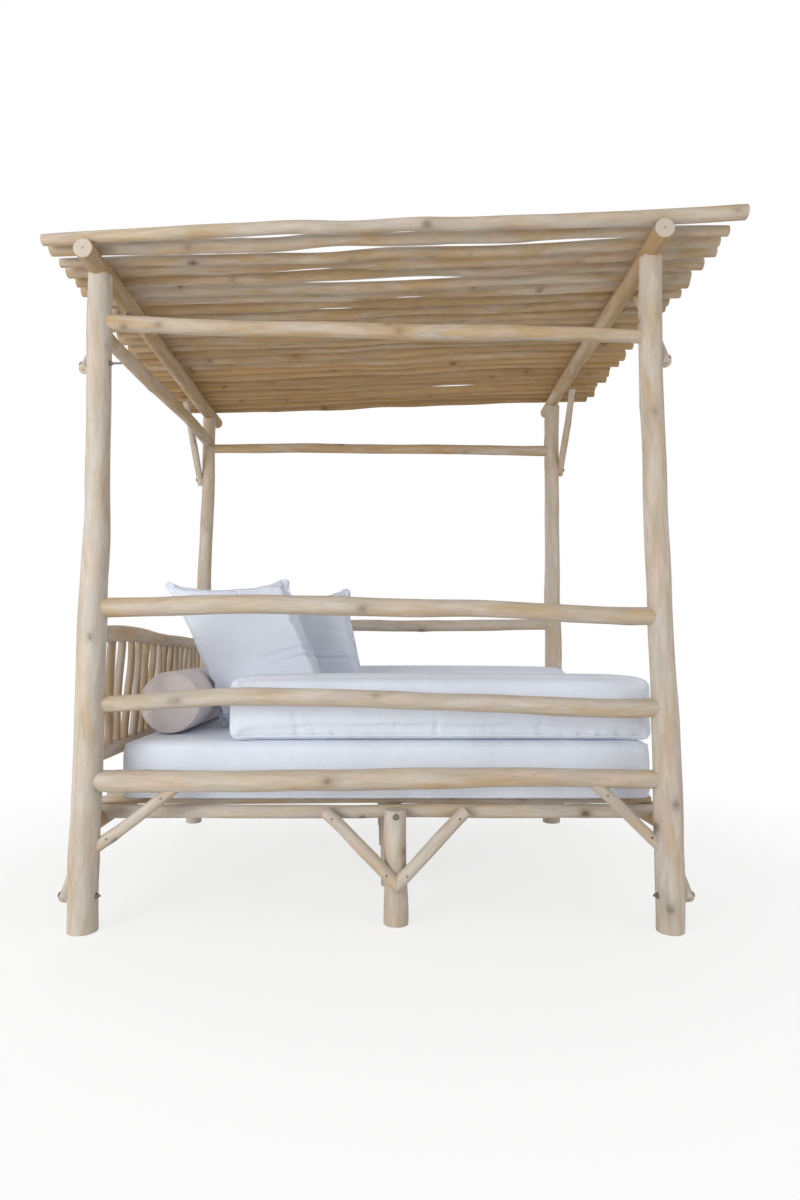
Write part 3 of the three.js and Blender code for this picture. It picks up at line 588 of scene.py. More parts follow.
def pole_form(pole, seed, tone, first=0.0, last=1.0, sides=20, pitch=0.012, knots=2.2,
              start_plane=None, knot_height=0.0032, wander=0.003, knot_and_shade_mark=0.0):
    """A pole's surface over the shares from first to last, with sawn and eased ends.

    Point = centre line + (across cos a + up sin a) radius. The centre line also wanders
    in two sines each way, which die out where the pole is held. The radius is the pole's
    own, times one plus six waves that run along and round it, plus a bell and a smaller
    negative bell at each knot. A start plane shears the first rows along the pole until
    their face lies in that plane.
    """
    rng = np.random.default_rng(seed)
    length = pole.length * (last - first)
    rim_run = np.array([0.0, 0.0, 0.0, 0.0, 0.0011, 0.0034])
    rim_size = np.array([0.0, 0.4, 0.75, 0.95, 0.988, 1.0])
    count = max(int(length / pitch), 2)
    body = np.linspace(EASED_END, length - EASED_END, count)
    run = np.concatenate([rim_run, body, length - rim_run[::-1]])
    size = np.concatenate([rim_size, np.ones(count), rim_size[::-1]])
    share = first + run / pole.length
    angle = 2 * np.pi * np.arange(sides) / sides
    centre = pole.centre(share)
    radius = pole.radius(share)
    along, up, across = pole.axes()

    held_first, held_last = pole.held
    free = np.sin(np.pi * (share - held_first) / (held_last - held_first)) ** 2
    pace = rng.uniform(0.75, 1.25, (2, 2)) * np.array([[6.0], [13.0]])
    offset = rng.uniform(0, 2 * np.pi, (2, 2))
    weight = np.array([0.65, 0.35])[:, None, None]
    sway = np.sin(pace[:, :, None] * run + offset[:, :, None]) * weight
    sway = wander * free * sway.sum(0)
    centre = centre + sway[0][:, None] * across + sway[1][:, None] * up

    wave_round = np.array([0, 1, 1, 2, 2, 3])
    wave_along = rng.uniform(0.4, 1.0, 6) * np.array([24, 18, 30, 9, 22, 14])
    wave_start = rng.uniform(0, 2 * np.pi, 6)
    wave_size = np.array([0.012, 0.012, 0.007, 0.02, 0.008, 0.01])
    phase = (
        wave_round * angle[None, :, None] + wave_along * run[:, None, None] + wave_start
    )
    swelling = 1 + (wave_size * np.cos(phase)).sum(-1)
    surface = radius[:, None] * swelling

    number = rng.poisson(knots * length)
    knot_run = rng.uniform(0.04, max(length - 0.04, 0.05), number)
    knot_angle = rng.uniform(0, 2 * np.pi, number)
    knot_size = rng.uniform(0.006, 0.015, number)
    turn = (angle[None, :, None] - knot_angle + np.pi) % (2 * np.pi) - np.pi
    beyond = run[:, None, None] - knot_run
    away = KNOT_STRETCH * beyond**2 + (surface[:, :, None] * turn) ** 2
    bell = np.exp(-away / (2 * (1.5 * knot_size) ** 2))
    eye = np.exp(-away / (2 * (0.55 * knot_size) ** 2))
    strength = rng.uniform(0.25, 1.0, number)
    surface = surface + (knot_height * strength * bell).sum(-1)
    surface = surface - (0.5 * knot_height * strength * eye).sum(-1)
    # The knot mark never falls below the given floor, which on the spindles is painted shade.
    knot = np.clip(((eye + KNOT_HALO * bell) * strength).sum(-1), knot_and_shade_mark, 1.0)

    surface = surface * size[:, None]
    outward = np.cos(angle)[:, None] * across + np.sin(angle)[:, None] * up
    place = centre[:, None, :] + surface[:, :, None] * outward
    if start_plane is not None:
        spot, normal = (np.array(part, float) for part in start_plane)
        face = place - along * run[:, None, None]
        lag = ((spot - face) @ normal) / (along @ normal)
        fade = np.clip(1 - run / CUT_FADE, 0, 1)[:, None]
        place = place + along * (lag * fade)[:, :, None]

    grain = np.stack(
        [
            np.broadcast_to(run[:, None], surface.shape),
            surface * np.cos(angle),
            surface * np.sin(angle),
        ],
        axis=-1,
    )
    grain = grain + np.array([seed * SEED_STRIDE % SEED_SPAN, 0.0, 0.0])
    cut = np.broadcast_to((size < 0.97)[:, None] * 1.0, surface.shape)

    def flat(grid):
        """The inner rows, then the two end points."""
        rows = grid[1:-1].reshape(-1, *grid.shape[2:])
        return np.concatenate([rows, grid[0, :1], grid[-1, :1]])

    quads, triangles = closed_tube_faces(len(run) - 2, sides)
    points = flat(place)
    return {
        "points": points,
        "quads": quads,
        "triangles": triangles,
        "grain": flat(grain),
        "knot": flat(knot),
        "cut": flat(cut),
        "tone": np.full(len(points), tone),
    }


def lathe_form(outline, sides, place, axis):
    """An outline of radius and reach, turned round an axis through a place, from one end
    on the axis to the other: point = place + axis times reach + radius times
    (first cos a + second sin a)."""
    radius, reach = np.array(outline, float).T
    axis = np.array(axis, float) / np.linalg.norm(axis)
    guide = np.array([0.0, 0.0, 1.0]) if abs(axis[2]) < 0.9 else np.array([1.0, 0.0, 0.0])
    first = np.cross(guide, axis)
    first = first / np.linalg.norm(first)
    second = np.cross(first, axis)
    angle = 2 * np.pi * np.arange(sides) / sides
    outward = np.cos(angle)[:, None] * first + np.sin(angle)[:, None] * second
    grid = place + reach[:, None, None] * axis + radius[:, None, None] * outward
    quads, triangles = closed_tube_faces(len(reach) - 2, sides)
    points = np.concatenate([grid[1:-1].reshape(-1, 3), grid[0, :1], grid[-1, :1]])
    return {"points": points, "quads": quads, "triangles": triangles}


def mesh_object(name, forms, material, offset):
    """Joins forms into one smooth mesh object, shifted by an offset."""
    faces = []
    base = 0
    for form in forms:
        faces += (form["quads"] + base).tolist()
        faces += (form["triangles"] + base).tolist()
        base += len(form["points"])
    points = np.concatenate([form["points"] for form in forms]) + offset
    mesh = bpy.data.meshes.new(name)
    mesh.from_pydata(points, [], faces)
    for key in forms[0]:
        if key in ("points", "quads", "triangles"):
            continue
        values = np.concatenate([form[key] for form in forms]).astype(np.float32)
        kind, field = ("FLOAT_VECTOR", "vector") if values.ndim == 2 else ("FLOAT", "value")
        mesh.attributes.new(key, kind, "POINT").data.foreach_set(field, values.ravel())
    mesh.shade_smooth()
    mesh.materials.append(material)
    piece = bpy.data.objects.new(name, mesh)
    bpy.context.scene.collection.objects.link(piece)
    return piece


def settle(piece, body, slot, *replaced):
    """The piece rides on its body and stands for CAD nodes, which it hides. The slot is not used.
    """
    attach(piece, body)
    if replaced:
        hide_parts(*replaced)
    return piece


# Materials

# How far the shaded copy of the wood leans to the honey colour: painted shade for the pieces in
# shade under the roof, under the mattress and in the headboard.
SHADED_COPY_WARMTH = 0.45
CANVAS_PITCH = 0.0016


def feed(tree, node, values):
    """Sets a node's inputs: a socket is linked, and anything else is its value."""
    for name, value in values.items():
        if isinstance(value, bpy.types.NodeSocket):
            tree.links.new(value, node.inputs[name])
        else:
            node.inputs[name].default_value = value
    return node


def add_node(tree, kind, values=None, **settings):
    node = tree.nodes.new(kind)
    for name, value in settings.items():
        setattr(node, name, value)
    return feed(tree, node, values or {})


def noise(tree, vector, scale, detail=3.0, roughness=0.55, distortion=0.0):
    """A noise from 0 to 1 on a vector that is first scaled by three numbers."""
    mapping = add_node(tree, "ShaderNodeMapping", {"Vector": vector, "Scale": scale})
    return add_node(
        tree, "ShaderNodeTexNoise",
        {
            "Vector": mapping.outputs[0], "Scale": 1.0, "Detail": detail,
            "Roughness": roughness, "Distortion": distortion,
        },
    ).outputs["Fac"]


def remap(tree, value, low, high, to_low=0.0, to_high=1.0):
    return add_node(
        tree, "ShaderNodeMapRange",
        {"Value": value, "From Min": low, "From Max": high, "To Min": to_low, "To Max": to_high},
    ).outputs["Result"]


def calculate(tree, operation, first, second=0.0):
    node = add_node(tree, "ShaderNodeMath", operation=operation)
    for index, value in enumerate((first, second)):
        if isinstance(value, bpy.types.NodeSocket):
            tree.links.new(value, node.inputs[index])
        else:
            node.inputs[index].default_value = value
    return node.outputs[0]


def blend_colours(tree, factor, first, second, kind="MIX"):
    node = add_node(tree, "ShaderNodeMix", data_type="RGBA", blend_type=kind)
    for index, value in ((0, factor), (6, first), (7, second)):
        if isinstance(value, bpy.types.NodeSocket):
            tree.links.new(value, node.inputs[index])
        elif index == 0:
            node.inputs[index].default_value = value
        else:
            node.inputs[index].default_value = (*value, 1.0)
    return node.outputs[2]


def new_material(name):
    """A material with only a Principled shader, and that shader."""
    material = bpy.data.materials.get(name)
    if material:
        bpy.data.materials.remove(material)
    material = bpy.data.materials.new(name)
    material.use_nodes = True
    return material, material.node_tree, material.node_tree.nodes["Principled BSDF"]


def wood_material(name, finishes, shade_warmth):
    """Peeled wood: streaks along the grain between pale, tan, grey and rosy, dark knots,
    thin fibres, hairline splits, and year rings on the sawn ends. A high tone, and the
    shaded copy of the wood, blend in a honey colour that is partly the wood's own tone and
    partly painted shade, and darken whole poles there by a share that differs from pole
    to pole, as painted shade between the roof poles."""
    material, tree, shader = new_material(name)
    grain = add_node(tree, "ShaderNodeAttribute", attribute_name="grain").outputs["Vector"]
    tone = add_node(tree, "ShaderNodeAttribute", attribute_name="tone").outputs["Fac"]
    knot = add_node(tree, "ShaderNodeAttribute", attribute_name="knot").outputs["Fac"]
    cut = add_node(tree, "ShaderNodeAttribute", attribute_name="cut").outputs["Fac"]

    streak = noise(tree, grain, (2.6, 21, 21), 4.0, 0.6, 0.5)
    patch = noise(tree, grain, (3.6, 12, 12), 3.0, 0.55, 0.8)
    blotch = noise(tree, grain, (7.0, 22, 22), 2.0, 0.5, 0.5)
    fibre = noise(tree, grain, (14, 330, 330), 3.0, 0.6)
    mottle = noise(tree, grain, (5.5, 30, 30), 4.0, 0.6, 0.9)
    split = noise(tree, grain, (2.6, 62, 62), 1.0, 0.4, 0.6)

    lean = calculate(tree, "ADD", calculate(tree, "MULTIPLY", tone, 0.5), shade_warmth)
    streak_lean = remap(tree, streak, 0.38, 0.63, -0.35, 0.6)
    streaked = calculate(tree, "ADD", streak_lean, lean)
    # The honey share: partly the wood's own tone, partly painted shade.
    honey_and_shade = calculate(tree, "ADD", calculate(tree, "MULTIPLY", streak_lean, 0.4), lean)
    honey_and_shade = remap(tree, honey_and_shade, 0.7, 1.45)
    # Painted shade: whole poles darkened by up to a third, by a share that differs from pole to
    # pole where the honey share is high, in place of the shade between the roof poles.
    painted_pole_shade = calculate(tree, "FRACT", calculate(tree, "MULTIPLY", tone, 5.0))
    painted_pole_shade = remap(tree, calculate(tree, "MULTIPLY", painted_pole_shade, honey_and_shade), 0.0, 1.0, 1.0, 0.66)
    streaked = calculate(tree, "MINIMUM", calculate(tree, "MAXIMUM", streaked, 0.0), 1.0)
    colour = blend_colours(tree, streaked, finishes.pale_wood, finishes.tan_wood)
    colour = blend_colours(tree, honey_and_shade, colour, finishes.honey_wood)
    plain = remap(tree, honey_and_shade, 0.0, 0.8, 1.0, 0.15)
    grey = calculate(tree, "MULTIPLY", remap(tree, patch, 0.48, 0.64, 0.0, 0.5), plain)
    colour = blend_colours(tree, grey, colour, finishes.grey_wood)
    rosy = calculate(tree, "MULTIPLY", remap(tree, blotch, 0.5, 0.68, 0.0, 0.6), plain)
    colour = blend_colours(tree, rosy, colour, finishes.pink_wood)
    grain_and_shade_factor = remap(tree, fibre, 0.3, 0.7, 0.9, 1.05)
    grain_and_shade_factor = calculate(tree, "MULTIPLY", grain_and_shade_factor, remap(tree, mottle, 0.36, 0.62, 0.9, 1.06))
    # The fibre and mottle factor also takes the painted shade of whole poles.
    grain_and_shade_factor = calculate(tree, "MULTIPLY", grain_and_shade_factor, painted_pole_shade)
    colour = blend_colours(tree, 1.0, colour, grey_value(tree, grain_and_shade_factor), "MULTIPLY")
    crack = calculate(tree, "ABSOLUTE", calculate(tree, "SUBTRACT", split, 0.5))
    crack = remap(tree, crack, 0.0, 0.006, 1.0, 0.0)
    where = remap(tree, blotch, 0.5, 0.62, 0.0, 0.4)
    crack = calculate(tree, "MULTIPLY", crack, where)
    colour = blend_colours(tree, crack, colour, finishes.knot_wood)
    # Knots darken the wood; on the spindles the same mark also paints shade.
    knot_and_shade_mark = calculate(tree, "POWER", knot, 0.9)
    knot_and_shade_mark = calculate(tree, "MULTIPLY", knot_and_shade_mark, remap(tree, fibre, 0.3, 0.65, 0.55, 1.0))
    colour = blend_colours(tree, knot_and_shade_mark, colour, finishes.knot_wood)

    apart = add_node(tree, "ShaderNodeSeparateXYZ", {"Vector": grain})
    square_y = calculate(tree, "MULTIPLY", apart.outputs[1], apart.outputs[1])
    square_z = calculate(tree, "MULTIPLY", apart.outputs[2], apart.outputs[2])
    reach = calculate(tree, "SQRT", calculate(tree, "ADD", square_y, square_z))
    ripple = calculate(tree, "ADD", calculate(tree, "MULTIPLY", reach, RING_RATE),
                       calculate(tree, "MULTIPLY", blotch, 6.0))
    rings = remap(tree, calculate(tree, "SINE", ripple), -1.0, 1.0, 0.0, 0.45)
    pith = remap(tree, reach, 0.0, 0.006, 0.75, 0.0)
    sawn = blend_colours(tree, rings, finishes.pale_wood, finishes.tan_wood)
    sawn = blend_colours(tree, pith, sawn, finishes.knot_wood)
    colour = blend_colours(tree, cut, colour, sawn)
    tree.links.new(colour, shader.inputs["Base Color"])

    rough = remap(tree, streak, 0.3, 0.7, 0.62, 0.8)
    tree.links.new(rough, shader.inputs["Roughness"])
    shader.inputs["Specular IOR Level"].default_value = 0.32
    height = calculate(tree, "ADD", calculate(tree, "MULTIPLY", fibre, 0.35), patch)
    height = calculate(tree, "SUBTRACT", height, calculate(tree, "MULTIPLY", crack, 1.4))
    bump = add_node(
        tree, "ShaderNodeBump", {"Height": height, "Strength": 0.5, "Distance": 0.0016}
    )
    tree.links.new(bump.outputs[0], shader.inputs["Normal"])
    return material


def grey_value(tree, value):
    """A number as a grey colour."""
    return add_node(
        tree, "ShaderNodeCombineColor", {"Red": value, "Green": value, "Blue": value}
    ).outputs[0]


def canvas_material(name, colour):
    """Plain-weave canvas: threads both ways, slubs, and a faint mottling."""
    material, tree, shader = new_material(name)
    place = add_node(tree, "ShaderNodeTexCoord").outputs["Object"]
    mottle = noise(tree, place, (5, 5, 5), 3.0)
    slub = noise(tree, place, (260, 260, 900), 2.0)
    dark = tuple(value * 0.93 for value in colour)
    tint = blend_colours(tree, remap(tree, mottle, 0.35, 0.65), dark, tuple(colour))
    tint = blend_colours(
        tree, 1.0, tint, grey_value(tree, remap(tree, slub, 0.3, 0.7, 0.965, 1.02)), "MULTIPLY"
    )
    tree.links.new(tint, shader.inputs["Base Color"])
    threads = []
    for direction in ("X", "Y", "Z"):
        wave = add_node(
            tree, "ShaderNodeTexWave",
            {"Vector": place, "Scale": 1 / CANVAS_PITCH / math.pi, "Distortion": 0.4},
            bands_direction=direction,
        )
        threads.append(wave.outputs["Fac"])
    weave = calculate(tree, "ADD", threads[0], calculate(tree, "ADD", threads[1], threads[2]))
    weave = calculate(tree, "ADD", weave, calculate(tree, "MULTIPLY", slub, 1.5))
    bump = add_node(
        tree, "ShaderNodeBump", {"Height": weave, "Strength": 0.25, "Distance": 0.0004}
    )
    soft = noise(tree, place, (16, 16, 16), 2.0)
    second = add_node(
        tree, "ShaderNodeBump",
        {"Height": soft, "Strength": 0.35, "Distance": 0.006, "Normal": bump.outputs[0]},
    )
    tree.links.new(second.outputs[0], shader.inputs["Normal"])
    tree.links.new(remap(tree, slub, 0.3, 0.7, 0.86, 0.95), shader.inputs["Roughness"])
    shader.inputs["Specular IOR Level"].default_value = 0.2
    shader.inputs["Sheen Weight"].default_value = 0.12
    shader.inputs["Sheen Roughness"].default_value = 0.6
    return material


def steel_material(name, finishes):
    """Dull zinc-plated steel with brushed and mottled patches."""
    material, tree, shader = new_material(name)
    place = add_node(tree, "ShaderNodeTexCoord").outputs["Object"]
    mottle = noise(tree, place, (120, 120, 120), 3.0)
    dark = tuple(value * 0.55 for value in finishes.steel)
    tint = blend_colours(tree, remap(tree, mottle, 0.35, 0.65), dark, finishes.steel)
    tree.links.new(tint, shader.inputs["Base Color"])
    tree.links.new(remap(tree, mottle, 0.3, 0.7, 0.35, 0.6), shader.inputs["Roughness"])
    shader.inputs["Metallic"].default_value = 0.85
    bump = add_node(
        tree, "ShaderNodeBump", {"Height": mottle, "Strength": 0.3, "Distance": 0.0003}
    )
    tree.links.new(bump.outputs[0], shader.inputs["Normal"])
    return material


def shared_material(scene, slot):
    """The wood, canvas or steel of a slot, made when it is first needed."""
    name = f"daybed_{slot}"
    found = bpy.data.materials.get(name)
    if found:
        return found
    finishes = scene.daybed_finishes
    if slot == "peeled_teak":
        return wood_material(name, finishes, 0.0)
    # The shaded copy: a darker, warmer wood that is painted shade.
    if slot == "peeled_teak_deep":
        return wood_material(name, finishes, SHADED_COPY_WARMTH)
    if slot == "white_canvas":
        return canvas_material(name, tuple(finishes.canvas))
    if slot == "sand_canvas":
        return canvas_material(name, tuple(finishes.sand))
    return steel_material(name, finishes)


# Wooden pieces

THIN_KNOT_HEIGHT = 0.0015
FLOOR_PLANE = ((0.0, 0.0, 0.0), (0.0, 0.0, 1.0))

# A rail's surface starts this far from its post's middle, in the post's radii, which are
# taken at this share of the post
RAIL_ENTRY = 0.55
ENTRY_SHARE = 0.3


def tone_of(index):
    """A tone from 0 to 1 that looks random from pole to pole."""
    return (math.sin(index * 12.9898 + 4.1) * 43758.5453) % 1.0


def wood_piece(context, name, forms, shaded_copy=False, stands_for=None):
    # The shaded copy of the wood is painted shade for pieces that lie in shade.
    slot = "peeled_teak_deep" if shaded_copy else "peeled_teak"
    material = shared_material(context.scene, slot)
    piece = mesh_object(name, forms, material, ORIGIN)
    return settle(piece, "frame", slot, stands_for or name.replace("_wood", ""))


def between_posts(rail, first, last, axis):
    """The shares of a rail at which it has just entered its two posts."""
    reach = abs(rail.end[axis] - rail.start[axis])
    first_in = first.radius(ENTRY_SHARE) * RAIL_ENTRY / reach
    last_in = last.radius(ENTRY_SHARE) * RAIL_ENTRY / reach
    return first_in, 1 - last_in


class DAYBED_OT_posts(bpy.types.Operator):
    """Make the four posts with their knee braces"""

    bl_idname = "daybed.posts"
    bl_label = "Posts and knee braces"

    def execute(self, context):
        sizes = context.scene.daybed_poles
        poles = PoleFrame(sizes)
        for number, ((side, end), post) in enumerate(poles.posts.items()):
            forms = [
                pole_form(
                    post, seed=11 + number, tone=0.25 + 0.12 * number,
                    first=post.share_at(2, 0.0), sides=28, knots=3.4, start_plane=FLOOR_PLANE,
                    knot_height=sizes.knot_height,
                )
            ]
            for turn, knee in enumerate(poles.knees(side, end)):
                seed = 31 + 2 * number + turn
                forms.append(pole_form(knee, seed, tone_of(seed), sides=18, knots=1.5))
            wood_piece(context, f"post_{side}_{end}_wood", forms)
        return {"FINISHED"}


class DAYBED_OT_roof(bpy.types.Operator):
    """Make the two roof beams and the poles that lie on them"""

    bl_idname = "daybed.roof"
    bl_label = "Roof beams and poles"

    def execute(self, context):
        sizes = context.scene.daybed_poles
        poles = PoleFrame(sizes)
        for number, (end, beam) in enumerate(poles.beams.items()):
            # The beams take the shaded copy and a high tone: their honey colour is painted shade
            # under the roof.
            form = pole_form(beam, seed=51 + number, tone=1.18, sides=26, knots=2.0)
            wood_piece(context, f"roof_beam_{end}_wood", [form], shaded_copy=True)
        for index in range(poles.roof_pole_count):
            # The tone rises towards the rear: painted shade under the rear of the roof, on top of a
            # part that differs at random.
            tone = 0.7 + 0.09 * index + 0.8 * tone_of(index)
            form = pole_form(
                poles.roof_pole(index), seed=60 + index, tone=tone, knots=2.4,
                knot_height=sizes.knot_height, wander=0.007,
            )
            wood_piece(context, f"roof_pole_{index + 1:02d}_wood", [form])
        return {"FINISHED"}


class DAYBED_OT_rails(bpy.types.Operator):
    """Make the rails under the roof, the guard rails and the side rails"""

    bl_idname = "daybed.rails"
    bl_label = "Rails"

    def execute(self, context):
        poles = PoleFrame(context.scene.daybed_poles)
        posts = poles.posts
        jobs = []
        # The upper rails under the roof and the side rails under the mattress take the shaded copy
        # of the wood, which is painted shade.
        for side in ("front", "rear"):
            ends = (posts[(side, "head")], posts[(side, "foot")], 0)
            jobs.append((f"upper_rail_{side}", poles.upper_rails[side], ends, True))
            for level, rail in poles.guards[side].items():
                jobs.append((f"guard_rail_{side}_{level}", rail, ends, False))
        for end in ("head", "foot"):
            ends = (posts[("front", end)], posts[("rear", end)], 1)
            if end in poles.upper_rails:
                jobs.append((f"upper_rail_{end}", poles.upper_rails[end], ends, True))
            jobs.append((f"side_rail_{end}", poles.side_rails[end], ends, True))
        for number, (name, rail, ends, shaded_copy) in enumerate(jobs):
            first, last = between_posts(rail, *ends)
            seed = 100 + number
            tone = 0.2 + tone_of(seed)
            form = pole_form(rail, seed, tone, first, last, sides=24, knots=3.2)
            wood_piece(context, f"{name}_wood", [form], shaded_copy)
        return {"FINISHED"}


class DAYBED_OT_headboard(bpy.types.Operator):
    """Make the humped top rail, the lower rail and the spindles"""

    bl_idname = "daybed.headboard"
    bl_label = "Headboard"

    def execute(self, context):
        poles = PoleFrame(context.scene.daybed_poles)
        ends = (poles.posts[("front", "head")], poles.posts[("rear", "head")], 1)
        first, last = between_posts(poles.headboard_top, *ends)
        # A high tone, whose honey colour is painted shade on the top rail.
        top = pole_form(poles.headboard_top, 131, 1.1, first, last, sides=24)
        wood_piece(context, "headboard_top_rail_wood", [top])
        forms = [pole_form(poles.headboard_foot, 132, 0.5, first, last, sides=22)]
        for index in range(poles.spindle_count):
            forms.append(
                pole_form(
                    poles.spindle(index), seed=140 + index, tone=0.7 * tone_of(index + 7),
                    sides=14, knots=0.8, knot_height=THIN_KNOT_HEIGHT,
                    # A floor of the knot mark: partly painted shade on the spindles, partly their
                    # own darker tone.
                    knot_and_shade_mark=0.28 + 0.22 * tone_of(index),
                )
            )
        # The grille takes the shaded copy of the wood: painted shade in the headboard.
        wood_piece(context, "headboard_grille_wood", forms, shaded_copy=True)
        return {"FINISHED"}


class DAYBED_OT_bed_base(bpy.types.Operator):
    """Make the slats, their bearers, the legs under the middle and the braces"""

    bl_idname = "daybed.bed_base"
    bl_label = "Bed base, legs and braces"

    def execute(self, context):
        poles = PoleFrame(context.scene.daybed_poles)
        sticks = [*poles.slats, poles.centre_bearer]
        forms = [
            pole_form(
                stick, seed=160 + number, tone=tone_of(number), sides=14, pitch=0.02, knots=1.0,
                knot_height=THIN_KNOT_HEIGHT,
            )
            for number, stick in enumerate(sticks)
        ]
        # The deck under the mattress takes the shaded copy of the wood: painted shade.
        wood_piece(context, "slat_deck_wood", forms, shaded_copy=True)
        for number, (side, facing) in enumerate((("front", -1), ("rear", 1))):
            leg = poles.centre_leg(side, facing)
            forms = [
                pole_form(
                    leg, seed=190 + number, tone=0.6, first=leg.share_at(2, 0.0), sides=24,
                    knots=2.0, start_plane=FLOOR_PLANE,
                )
            ]
            for way in (-1, 1):
                brace = poles.v_brace(facing, way)
                mitre = ((poles.centre_x, 0.0, 0.0), (1.0, 0.0, 0.0))
                first = brace.share_at(0, poles.centre_x)
                forms.append(
                    pole_form(
                        brace, seed=195 + number * 2 + way, tone=0.5, first=first,
                        start_plane=mitre, knots=1.2,
                    )
                )
            wood_piece(context, f"centre_leg_{side}_wood", forms)
            bearer = pole_form(
                poles.bearers[side], seed=186 + number, tone=0.5, sides=18, knots=1.5
            )
            wood_piece(
                context, f"bearer_{side}_wood", [bearer], stands_for=f"centre_leg_{side}"
            )
            inner = poles.inner_leg(facing)
            form = pole_form(
                inner, seed=200 + number, tone=0.5, first=inner.share_at(2, 0.0), sides=22,
                start_plane=FLOOR_PLANE,
            )
            wood_piece(context, f"inner_leg_{side}_wood", [form])
            for end in ("head", "foot"):
                brace = poles.corner_brace(side, end)
                post = poles.posts[(side, end)]
                first = post.radius(0.1) * 0.5 / brace.length
                seed = 210 + 2 * number + (end == "foot")
                form = pole_form(brace, seed, 0.35, first, last=0.97, sides=18, knots=1.2)
                wood_piece(context, f"corner_brace_{side}_{end}_wood", [form])
        return {"FINISHED"}


# Fittings


def nut_forms(place, axis, rod):
    """A washer, a hexagonal nut and a threaded rod end that stands out by a length."""
    washer = [(0, -0.002), (0.0105, -0.002), (0.0105, 0.0012), (0.0099, 0.0018), (0, 0.0018)]
    nut = [(0, 0.001), (0.0066, 0.001), (0.0074, 0.002), (0.0074, 0.0074), (0.0066, 0.0084),
           (0, 0.0084)]
    turns = np.arange(int(rod / THREAD_PITCH) + 1)
    crest = THREAD_START + THREAD_PITCH * turns
    thread = np.stack([np.where(turns % 2, 0.0040, 0.0035), crest], axis=-1)
    tip = crest[-1] + 0.001
    rod_line = [(0, 0.004), (0.0036, 0.005), *thread.tolist(), (0.003, tip), (0, tip)]
    return [
        lathe_form(washer, 20, place, axis),
        lathe_form(nut, 6, place, axis),
        lathe_form(rod_line, 12, place, axis),
    ]


def bolt_head_forms(place, axis):
    """A washer and a domed bolt head."""
    washer = [(0, -0.002), (0.0115, -0.002), (0.0115, 0.001), (0.011, 0.0016), (0, 0.0016)]
    head = [(0, 0.001), (0.0078, 0.001), (0.0083, 0.0022), (0.0078, 0.0042), (0.006, 0.0058),
            (0.0034, 0.0064), (0.003, 0.0042), (0, 0.0042)]
    return [lathe_form(washer, 20, place, axis), lathe_form(head, 18, place, axis)]


def screw_form(place, axis):
    """The sunk head of a wood screw, with a recess."""
    line = [(0, -0.003), (0.0042, -0.002), (0.0046, 0.0006), (0.0038, 0.0011), (0.0018, 0.001),
            (0.0014, -0.0008), (0, -0.0008)]
    return lathe_form(line, 14, place, axis)


